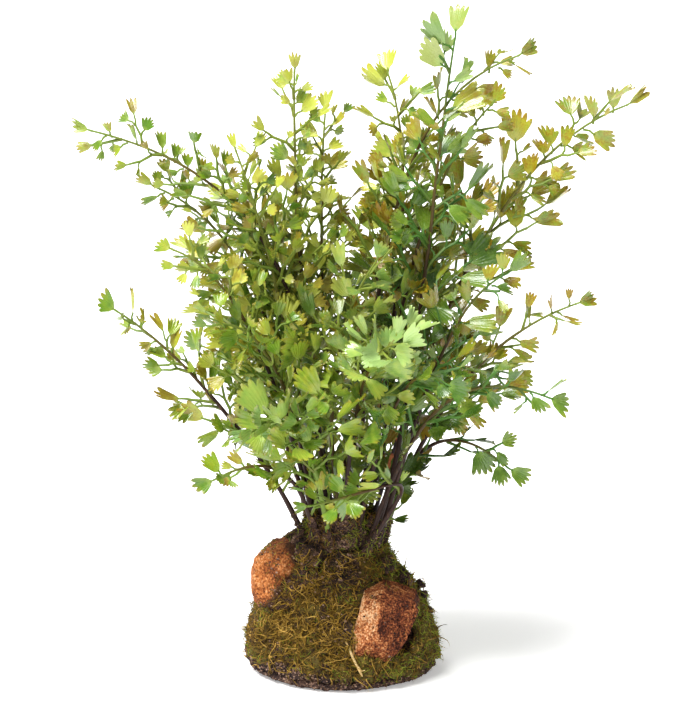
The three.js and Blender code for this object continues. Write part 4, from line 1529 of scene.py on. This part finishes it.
class Surface:
    """The outside of the finished ball, where loose bits are laid."""

    REACH = 0.16

    def __init__(self, things: dict[str, bpy.types.Object]) -> None:
        """Joins the objects into one tree.

        Args:
            things: the objects by the name that a hit gives back.
        """
        places: list[Vector] = []
        faces: list[tuple[int, ...]] = []
        self.owners: list[str] = []
        for name, thing in things.items():
            start = len(places)
            places.extend(vertex.co.copy() for vertex in thing.data.vertices)
            faces.extend(tuple(corner + start for corner in face.vertices) for face in thing.data.polygons)
            self.owners.extend([name] * len(thing.data.polygons))
        self.tree = BVHTree.FromPolygons(places, faces)

    def from_side(self, angle: float, height: float) -> Hit | None:
        """Looks at the axis from a compass direction in degrees, at a height in metres.

        Returns:
            The point that is seen, its normal and the object it is on, or None.
        """
        out = Vector((math.cos(math.radians(angle)), math.sin(math.radians(angle)), 0))
        place, normal, index, _ = self.tree.ray_cast(out * self.REACH + UP * height, -out, self.REACH)
        return None if place is None else (place, normal, self.owners[index])

    def from_above(self, x: float, y: float) -> Hit | None:
        """Looks straight down at a point; the result is as from_side gives it."""
        place, normal, index, _ = self.tree.ray_cast(Vector((x, y, self.REACH)), -UP, self.REACH)
        return None if place is None else (place, normal, self.owners[index])


def laid(place: Vector, normal: Vector, lean: float, size: Vector, draw: random.Random) -> Matrix:
    """Gives the matrix that lays a bit drawn along +Z on a surface, turned any way.

    Args:
        place: where it is rooted.
        normal: the surface's direction.
        lean: how upright it is, from 0 flat to 1 upright.
        size: its scale on its own axes.
        draw: the source of its turn.

    Returns:
        The matrix.
    """
    flat = normal.cross(Vector((draw.gauss(0, 1), draw.gauss(0, 1), draw.gauss(0, 1)))).normalized()
    along = (flat * (1 - lean) + normal * lean).normalized()
    side = along.cross(normal if lean < 0.9 else UP + Vector((0.3, 0.2, 0))).normalized()
    grid = Matrix((side * -size.x, along.cross(side) * -size.y, along * size.z)).transposed().to_4x4()
    grid.translation = place
    return grid


def above_floor(bits: Iterable[Shape]) -> list[Shape]:
    """Leaves out the bits that reach below the floor."""
    return [bit for bit in bits if bit.places[:, 2].min() > 0]


def curl_pattern(length: float, thickness: float, bend: float, rings: int, seed: int) -> Shape:
    """Models one strand of moss, three-sided, that bends and turns on its way.

    Args:
        length: its length in millimetres.
        thickness: its radius at the foot.
        bend: the most that it turns at each ring, in degrees.
        rings: the number of rings.
        seed: gives its turns.

    Returns:
        The strand in metres, along +Z.
    """
    draw = random.Random(seed)
    direction = Vector((0, 0, 1))
    # Every third strand bends away from the ball, and the others bend to it.
    axis = Vector((1 if seed % 3 else -1, 0, 0))
    steps, radii = [], [thickness * MM]
    for ring in range(rings):
        axis = turned(axis, UP, draw.uniform(-60, 60))
        direction = turned(direction, axis, draw.uniform(0.2, 1) * bend)
        steps.append(direction * (length * MM / rings))
        radii.append(thickness * MM * (1 - 0.85 * (ring + 1) / rings))
    return Shape.of(extruded_rod(3, radii, steps))


def crumb_pattern(seed: int) -> Shape:
    """Models one crumb about 1 mm wide, in metres, with bumps that the seed gives."""
    deselect_all()
    bpy.ops.mesh.primitive_ico_sphere_add(subdivisions=1, radius=0.5 * MM)
    crumb = bpy.context.object
    draw = random.Random(seed)
    for vertex in crumb.data.vertices:
        vertex.co *= draw.uniform(0.7, 1.25)
    return Shape.of(crumb)


@dataclass(frozen=True)
class StonePlan:
    """One stone, as it is cut and weathered.

    facets are its flat sides: the way each looks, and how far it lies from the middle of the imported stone.
    """

    node: str
    name: str
    finish: EarthFinish
    relief: Relief
    facets: tuple[tuple[tuple[float, float, float], float], ...]
    rounded: bool
    wear: int

    def block(self) -> bpy.types.Object:
        """Adds the ball or the block that the stone is cut from, and cuts it."""
        low, high = (Vector(corner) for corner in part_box(self.node))
        middle, size = (low + high) / 2, high - low
        deselect_all()
        if self.rounded:
            bpy.ops.mesh.primitive_ico_sphere_add(subdivisions=5, radius=0.55, location=middle, scale=size)
        else:
            bpy.ops.mesh.primitive_cube_add(size=1.15, location=middle, scale=size)
        stone = bpy.context.object
        stone.name = stone.data.name = self.name
        bpy.ops.object.transform_apply(location=True, rotation=True, scale=True)
        bpy.ops.object.mode_set(mode="EDIT")
        for facing, distance in self.facets:
            facing = Vector(facing).normalized()
            bpy.ops.mesh.select_all(action="SELECT")
            bpy.ops.mesh.bisect(plane_co=middle + facing * (distance * MM), plane_no=facing, use_fill=True,
                                clear_outer=True)
        bpy.ops.object.mode_set(mode="OBJECT")
        return stone


LEFT_STONE = StonePlan(
    "stone_left", "rounded_stone", ROUND_STONE, Relief(9, 0.8, 2.2, 0.4, 3.0, 0.32, 0.7, shade=0.5),
    (((-1, -0.1, 0.1), 16.8), ((-0.45, -0.85, 0.1), 16.5), ((0.3, -0.95, 0), 16.8), ((-0.1, 0, 1), 22.2),
     ((-0.7, 0.1, 0.72), 19), ((0, 0, -1), 22), ((1, 0, 0.2), 16.5)), True, 10)
# Its faces that look to the left are painted paler: painted light.
RIGHT_STONE = StonePlan(
    "stone_right", "angular_stone", ANGULAR_STONE,
    Relief(9, 0.6, 1.8, 0.5, 2.8, 0.42, 1.2, shade=0.47, painted_left_light=0.52),
    (((-0.5, -0.8, 0.3), 18.6), ((0.55, -0.8, 0.1), 13.0), ((0.15, -0.88, -0.4), 18.2),
     ((0.2, -0.5, 0.84), 19.0), ((0, -1, -0.1), 19.2), ((0.39, -0.1, 0.92), 18.6),
     ((-0.24, -0.1, 0.97), 20.4), ((0.94, -0.1, 0.35), 20.4), ((0.82, 0, -0.58), 14.6),
     ((0.89, 0, -0.45), 14.3), ((-0.1, 0, -1), 21.4), ((-0.7, 0, -0.7), 25.0), ((-0.96, 0, 0.28), 17.6)),
    False, 1)
STONES = (LEFT_STONE.name, RIGHT_STONE.name)
# Lumps of soil: over the left stone's right side, between it and the neck, and on the right edge. Each is
# x, y, height and radius.
LUMPS = (
    (-22, -19, 74, 7.5), (-23, -24, 66, 7.5), (-27, -27, 57, 7), (-33, -26.5, 49, 6.5), (-39, -22, 42, 6.5),
    (-25, -12, 78, 7), (-30, -3, 77, 7), (-24, -1, 80, 7.5), (-18, -24, 74, 7), (-17, -27, 62, 7),
    (49, -4, 46, 3.2), (52, -6, 37, 2.6), (47, 6, 50, 3), (36, -12, 58, 6), (27, -16, 68, 6),
)


@dataclass
class SoilBall:
    """The ball with everything on it.

    Sizes are in millimetres, and directions in compass degrees with -90 at the front. The long strands of
    moss lie thickest round the tangle's side and height.
    """

    CRUMB_WIDTHS = (0.6, 0.75, 0.9, 1.1, 1.3, 1.8)
    CRUMB_SHADES = (0.0, 0.1, 0.25, 0.4, 0.55, 0.75, 1.0)
    TANGLE_SIDE = -112
    TANGLE_HEIGHT = 36
    NECK_REACH = 24
    voxel: float = 1.1
    stone_voxel: float = 0.65
    pile_count: int = 14000
    pile_split: float = 40
    curl_count: int = 3000
    crumb_count: int = 9000
    heap: float = 8.0
    collar_top: float = 101.0
    collar_drop: float = 0.3
    collar_radius: float = 3.7
    green_right: float = 0.6
    neck_height: float = 78
    top_height: float = 104
    rim_height: float = 16
    seed: int = 11

    def earthiness(self, place: Vector) -> float:
        """Says how much bare soil shows at a place of the ball, from 0 to 1."""
        x, y, z = place / MM
        angle = math.degrees(math.atan2(y, x))
        uneven = fractal(place, 14, 9.1)
        band = self.rim_height + 6 * uneven - 9 * ramp(abs(angle + 62), 50, 25)
        rim = 1 - ramp(z, band - 5, band)
        neck = 0.28 * ramp(z, 68, 82)
        front = 0.6 * ramp(abs(angle + 92), 32, 12) * ramp(z, 50, 60)
        patches = 0.65 * ramp(uneven, 0.28, 0.48)
        return max(rim, max(neck, front, patches) * (1 - 0.7 * ramp(x, 8, 24)))

    def overgrown(self, place: Vector, owner: str) -> float:
        """Says how thickly a place on a stone is covered, from 0 to 1."""
        x, _, z = place / MM
        uneven = 6 * fractal(place, 9, 4.4)
        if owner == LEFT_STONE.name:
            edge = -29 - 0.6 * abs(z - 71) - 2.5 * ramp(z, 66, 60)
            specks = 0.3 * ramp(x + uneven, -48, -36) * ramp(z, 52, 62)
            return max(ramp(x + 0.5 * uneven, edge - 1, edge + 3), ramp(z + uneven, 48, 42), specks,
                       0.7 * ramp(z + uneven, 73, 82))
        return 0.8 * max(ramp(z + uneven, 20, 15), ramp(x + uneven, 45, 50), ramp(z + uneven, 59, 64))

    def tangle(self, place: Vector) -> float:
        """Says how thickly the long strands lie at a place, from 0 to 1."""
        angle = math.degrees(math.atan2(place.y, place.x))
        return ramp(abs(angle - self.TANGLE_SIDE), 60, 25) * ramp(
            abs(place.z / MM - self.TANGLE_HEIGHT), 32, 16)

    def build(self, stems: Sequence[StemLine]) -> None:
        """Makes the soil, the moss, the stones and the loose bits.

        Args:
            stems: the lines of the stems that leave the ball.
        """
        soil = self._soil()
        mound = self._mound(stems)
        mat = self._moss_mat()
        stones = {plan.name: self._stone(plan) for plan in (LEFT_STONE, RIGHT_STONE)}
        surface = Surface({"soil": soil, "mound": mound, "moss": mat, **stones})
        draw = random.Random(self.seed)
        self._crumbs(surface, draw)
        self._pile(surface, draw)
        self._curls(surface, draw)

    def _stand_in(self, node: str, name: str, voxel: float) -> bpy.types.Object:
        """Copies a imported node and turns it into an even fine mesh."""
        copy = merged_copy(node, name)
        apply_modifier(copy, "REMESH", mode="VOXEL", voxel_size=voxel * MM)
        return copy

    @staticmethod
    def _finish(piece: bpy.types.Object, material: bpy.types.Material, slot: str, replaced: str = "") -> None:
        """Gives a piece its material and hands it over."""
        piece.data.materials.append(material)
        hand_over(piece, 60, replaced)

    def _soil(self) -> bpy.types.Object:
        """Makes the lumpy soil core, heaped up round the feet of the stems."""
        soil = self._stand_in("soil_ball", "soil_core", self.voxel)
        for vertex in soil.data.vertices:
            uneven = 0.7 + 0.6 * fractal(vertex.co, 9, 6.2)
            vertex.co.z += self.heap * MM * uneven * ramp(vertex.co.z / MM, 80, 91)
        soil.data.update()
        roughened(soil, Relief(7, 1.1, 2.0, 0.7, 3.4, 0.4, 0.8, floor_mm=0.0, foot_kept=True, shade=0.35))
        self._finish(soil, SOIL.make(), "soil", "soil_ball")
        return soil

    def _mound(self, stems: Sequence[StemLine]) -> bpy.types.Object:
        """Makes the soil that clings to the feet of the stems."""
        draw = random.Random(self.seed)
        sleeves = []
        for line in stems:
            foot = line.point(0)
            top = self.collar_top - self.collar_drop * math.hypot(foot.x, foot.y) + draw.uniform(-3, 4)
            share = next(i / 200 for i in range(200) if line.point(i / 200).z > top)
            points = [line.point(share * i / 5) for i in range(6)]
            foot = self.collar_radius * draw.uniform(0.7, 1.15)
            radii = [foot, foot, foot * 0.95, foot * 0.8, foot * 0.62, 1.6]
            sleeves.append(Path(points, radii, [0.0] * 6))
        lumps = []
        for x, y, z, radius in LUMPS:
            deselect_all()
            bpy.ops.mesh.primitive_ico_sphere_add(subdivisions=3, radius=radius * MM)
            lumps.append(Shape.of(bpy.context.object).placed(Matrix.Translation(Vector((x, y, z)) * MM)))
        mound = build_object("neck_mound", [tubes(sleeves, 2, 0), *lumps])
        apply_modifier(mound, "REMESH", mode="VOXEL", voxel_size=self.voxel * MM)
        roughened(mound, Relief(6, 1.2, 2.0, 1.1, 3.4, 0.4, 0.8, shade=0.3))
        self._finish(mound, SOIL.make(), "soil")
        return mound

    def _moss_mat(self) -> bpy.types.Object:
        """Makes the felted mat under the loose moss, with ragged edges."""
        mat = self._stand_in("moss_blanket", "moss_mat", self.voxel)
        for vertex in mat.data.vertices:
            angle = math.atan2(vertex.co.y, vertex.co.x)
            ragged = noise.noise(Vector((math.cos(angle), math.sin(angle), 0.2)) * 4.5)
            edge = max(0.0, 1 - (vertex.co.z / MM - 7) / 9)
            vertex.co.z += ragged * edge * 5 * MM
        mat.data.update()
        roughened(mat, Relief(9, 2.0, 3.0, 1.1, 5.0, 0.3, 0.9, outer_only=True, shade=0.62))
        shade = mat.data.attributes["shade"].data
        for vertex in mat.data.vertices:
            shade[vertex.index].value -= 0.6 * self.earthiness(vertex.co)
        self._finish(mat, MOSS_MAT.make(), "moss", "moss_blanket")
        return mat

    def _stone(self, plan: StonePlan) -> bpy.types.Object:
        """Makes one stone with worn edges, pits and the soil that clings to it."""
        stone = plan.block()
        apply_modifier(stone, "REMESH", mode="VOXEL", voxel_size=self.stone_voxel * MM)
        apply_modifier(stone, "SMOOTH", factor=0.5, iterations=plan.wear)
        roughened(stone, plan.relief)
        # The clinging soil is noted in the same attribute as the painted shade of the pits.
        hollow = stone.data.attributes["hollow"].data
        for vertex in stone.data.vertices:
            soiled = 0.92 * self.overgrown(vertex.co, plan.name)
            hollow[vertex.index].value = max(hollow[vertex.index].value, soiled)
        self._finish(stone, plan.finish.make(), "stone", plan.node)
        return stone

    def _hit(self, surface: Surface, draw: random.Random, low: float, high: float) -> Hit | None:
        """Picks a place on the ball between two heights, or now and then on top of the neck."""
        height = draw.uniform(low, high)
        if height > self.neck_height and draw.random() < 0.45:
            reach = self.NECK_REACH * math.sqrt(draw.random()) * MM
            angle = draw.uniform(0, 2 * math.pi)
            return surface.from_above(math.cos(angle) * reach, math.sin(angle) * reach)
        return surface.from_side(draw.uniform(-180, 180), height * MM)

    def _crumbs(self, surface: Surface, draw: random.Random) -> None:
        """Scatters soil crumbs on the rim, the neck, the bare patches and the edges of the stones."""
        patterns = [crumb_pattern(seed) for seed in range(6)]
        bits = []
        while len(bits) < self.crumb_count:
            hit = self._hit(surface, draw, 0.8, self.top_height)
            if hit is None:
                continue
            place, normal, owner = hit
            wanted = 0.06 + 0.94 * self.earthiness(place)
            if owner in STONES:
                wanted = 0.02 + 0.8 * self.overgrown(place, owner)
            if draw.random() > wanted:
                continue
            width = draw.choice(self.CRUMB_WIDTHS) * draw.uniform(0.8, 1.2)
            if place.z < width * 0.6 * MM:
                continue
            size = Vector((width, width * draw.uniform(0.6, 1), width * draw.uniform(0.5, 0.9)))
            shade = draw.choice(self.CRUMB_SHADES) + draw.uniform(-0.08, 0.08)
            shade += 0.12 * ramp(place.z / MM, 24, 10)
            bits.append(draw.choice(patterns).placed(laid(place, normal, 1.0, size, draw), shade=shade))
        self._finish(build_object("soil_crumbs", above_floor(bits)), SOIL.make(), "soil")

    def _pile(self, surface: Surface, draw: random.Random) -> None:
        """Lays the short fine moss all over the mat, and thinner where the soil is bare."""
        patterns = [curl_pattern(4.2, 0.25, 30, 3, seed) for seed in range(20, 30)]
        bits: dict[bool, list[Shape]] = {False: [], True: []}
        for i in range(self.pile_count):
            accepted = False
            while not accepted:
                hit = self._hit(surface, draw, 3, self.top_height)
                if hit is None:
                    continue
                place, normal, owner = hit
                wanted = 1 - 0.95 * self.earthiness(place) ** 1.5
                if owner in STONES:
                    wanted = 0.85 * self.overgrown(place, owner)
                accepted = place.z > 3 * MM and draw.random() < wanted
            to_right, height = ramp(place.x / MM, 0, 40), place.z / MM
            green = 0.22 + self.green_right * to_right + 0.8 * fractal(place, 15, 2.2)
            green += 0.3 * max(ramp(height, 26, 14), ramp(height, 70, 84)) - 0.5 * self.earthiness(place)
            size = Vector((1, 1, 1)) * draw.uniform(0.6, 1.3)
            if draw.random() < green:
                shade = draw.uniform(0.56, 1.0)
            else:
                shade = draw.uniform(0.02, 0.5 - 0.25 * self.tangle(place))
            # The moss is painted lighter on the right, painted light against the shade that the key light from
            # the left leaves there, and lighter towards the top.
            shade += 0.1 * max(to_right, ramp(height, 45, 58))
            bits[place.z > self.pile_split * MM].append(patterns[i % len(patterns)].placed(
                laid(place, normal, draw.uniform(0.04, 0.4), size, draw), shade=shade))
        material = MOSS_PILE.make()
        for upper, name in ((False, "moss_pile_lower"), (True, "moss_pile_upper")):
            self._finish(build_object(name, above_floor(bits[upper])), material, "moss")

    def _curls(self, surface: Surface, draw: random.Random) -> None:
        """Lays the long curled strands, most of them on the left and the middle of the front."""
        patterns = [curl_pattern(9.5, 0.4, 42, 7, seed) for seed in range(40, 52)]
        bits = []
        while len(bits) < self.curl_count:
            front = draw.random() < 0.66
            angle = draw.gauss(self.TANGLE_SIDE, 32) if front else draw.uniform(-180, 180)
            height = draw.gauss(self.TANGLE_HEIGHT, 15) if front else draw.uniform(8, 76)
            hit = surface.from_side(angle, height * MM)
            if hit is None or hit[2] in STONES or not 8 * MM < hit[0].z < 84 * MM:
                continue
            place, normal, _ = hit
            bare = 1 - ramp(fractal(place, 16, 8.8), -0.5, 0.1)
            if draw.random() < max(0.75 * self.earthiness(place), 0.85 * bare):
                continue
            width = draw.uniform(0.75, 1.2)
            size = Vector((width, width, draw.uniform(0.6, 1.7)))
            bits.append(draw.choice(patterns).placed(
                laid(place + normal * (0.4 * MM), normal, draw.uniform(0.0, 0.2), size, draw),
                shade=draw.random() ** 1.6))
        self._finish(build_object("moss_curls", above_floor(bits)), MOSS_CURLS.make(), "moss")


@dataclass
class LooseStalks:
    """The dry straw on the moss and the broken stem among the fronds, in millimetres."""

    straw_radius: float = 0.75
    prong: float = 3.2
    stub_foot: tuple[float, float] = (14, -1)
    stub_rise: tuple[float, float] = (20, 100)
    stub_bend: tuple[float, float] = (26, 120)
    stub_tip: tuple[float, float, float] = (33, -6, 143)
    stub_radius: float = 1.7
    scrape: tuple[float, float] = (0.72, 0.88)

    def build(self) -> None:
        """Makes both."""
        self._straw()
        self._broken_stem()

    def _straw(self) -> None:
        """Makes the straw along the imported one's middle line, split at both ends."""
        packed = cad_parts["straw"].data.vertices
        corners = sorted((vertex.co / MM for vertex in packed), key=lambda co: co.z)
        low, high = corners[0].z, corners[-1].z
        levels = 6
        line = []
        for level in range(levels):
            height = high + (low - high) * level / (levels - 1)
            near = [co for co in corners if abs(co.z - height) < (high - low) / (levels - 1)]
            line.append(sum(near, Vector()) / len(near))
        radii = [0.35, *([self.straw_radius] * (levels - 2)), 0.4]
        side = Vector((1, 0, 0.25)).normalized()
        paths = [
            Path(line, radii, [0.5] * levels),
            Path([line[1], line[0] - side * 0.8 + UP * 0.9], [0.55, 0.25], [0.5, 0.5]),
            Path([line[-3], line[-2] + side * 1.2, line[-2] + side * self.prong], [0.5, 0.42, 0.2],
                 [0.5] * 3),
        ]
        shape = tubes(paths, 1, 0, shade=0.5)
        hand_over(build_object("dry_straw", [shape], [STRAW.make()]), 40, "straw")

    def _broken_stem(self) -> None:
        """Makes the broken stem with its scraped side and its torn end."""
        packed = PackedNode("cut_stem")
        line = packed.bowed_line(self.stub_foot, self.stub_rise, self.stub_bend, self.stub_tip,
                                 self.stub_radius)
        count = 26
        points, radii, ages = [], [], []
        for i in range(count + 1):
            share = i / count
            points.append(line.point(share))
            radii.append(self.stub_radius - 0.75 * share + 0.12 * math.sin(share * 40))
            ages.append(0.95 if self.scrape[0] < share < self.scrape[1] or share > 0.97 else 0.2)
        shape = tubes([Path(points, radii, ages)], 3, 0)
        shape.values["shade"] = shape.values.pop("age")
        hand_over(build_object("broken_stem", [shape], [TORN_BARK.make()]), 50, "cut_stem")


# ---- Studio ----


@dataclass(frozen=True)
class Studio:
    """The pale floor, the soft light and the camera at the photograph's angle."""

    target_mm: tuple[float, float, float] = (4.75, 0, 195)
    distance_mm: float = 2200
    elevation: float = 12
    frame_mm: float = 417
    sensor: float = 36
    floor_size: float = 14

    def build(self) -> None:
        """Sets up the floor, the lights and the camera."""
        deselect_all()
        bpy.ops.mesh.primitive_plane_add(size=self.floor_size)
        floor = bpy.context.object
        floor.name = "studio_floor"
        floor.data.materials.append(STUDIO_BOARD.make())
        world = bpy.data.worlds.new("studio")
        world.use_nodes = True
        world.node_tree.nodes["Background"].inputs["Color"].default_value = (1, 1, 1, 1)
        world.node_tree.nodes["Background"].inputs["Strength"].default_value = 0.3
        bpy.context.scene.world = world
        bpy.context.scene.view_settings.view_transform = "Standard"
        self._sun("key_light", Vector((-0.55, -0.5, 1.45)), 5.5, 28)
        self._sun("rim_light", Vector((-0.5, 0.9, 0.9)), 0.8, 40)
        self._camera()

    @staticmethod
    def _sun(name: str, source: Vector, strength: float, softness: float) -> None:
        """Adds a wide, even light from one side."""
        light = bpy.data.lights.new(name, "SUN")
        light.energy = strength
        light.angle = math.radians(softness)
        lamp = bpy.data.objects.new(name, light)
        lamp.rotation_euler = source.to_track_quat("Z", "Y").to_euler()
        bpy.context.scene.collection.objects.link(lamp)

    def _camera(self) -> None:
        """Adds the camera and makes it the scene's."""
        camera = bpy.data.cameras.new("camera")
        camera.sensor_width = self.sensor
        camera.lens = self.sensor * self.distance_mm / self.frame_mm
        camera.clip_end = 50
        thing = bpy.data.objects.new("camera", camera)
        rise = math.radians(self.elevation)
        back = Vector((0, -math.cos(rise), math.sin(rise)))
        thing.location = (Vector(self.target_mm) + back * self.distance_mm) * MM
        thing.rotation_euler = back.to_track_quat("Z", "Y").to_euler()
        bpy.context.scene.collection.objects.link(thing)
        bpy.context.scene.camera = thing


def main() -> None:
    """Builds the plant and its studio."""
    logging.basicConfig(level=logging.INFO, format="%(name)s: %(message)s")
    noise.seed_set(NOISE_SEED)
    fern = Fern()
    SoilBall().build(fern.stem_lines())
    LooseStalks().build()
    fern.build()
    Studio().build()


if __name__ == "__main__":
    main()
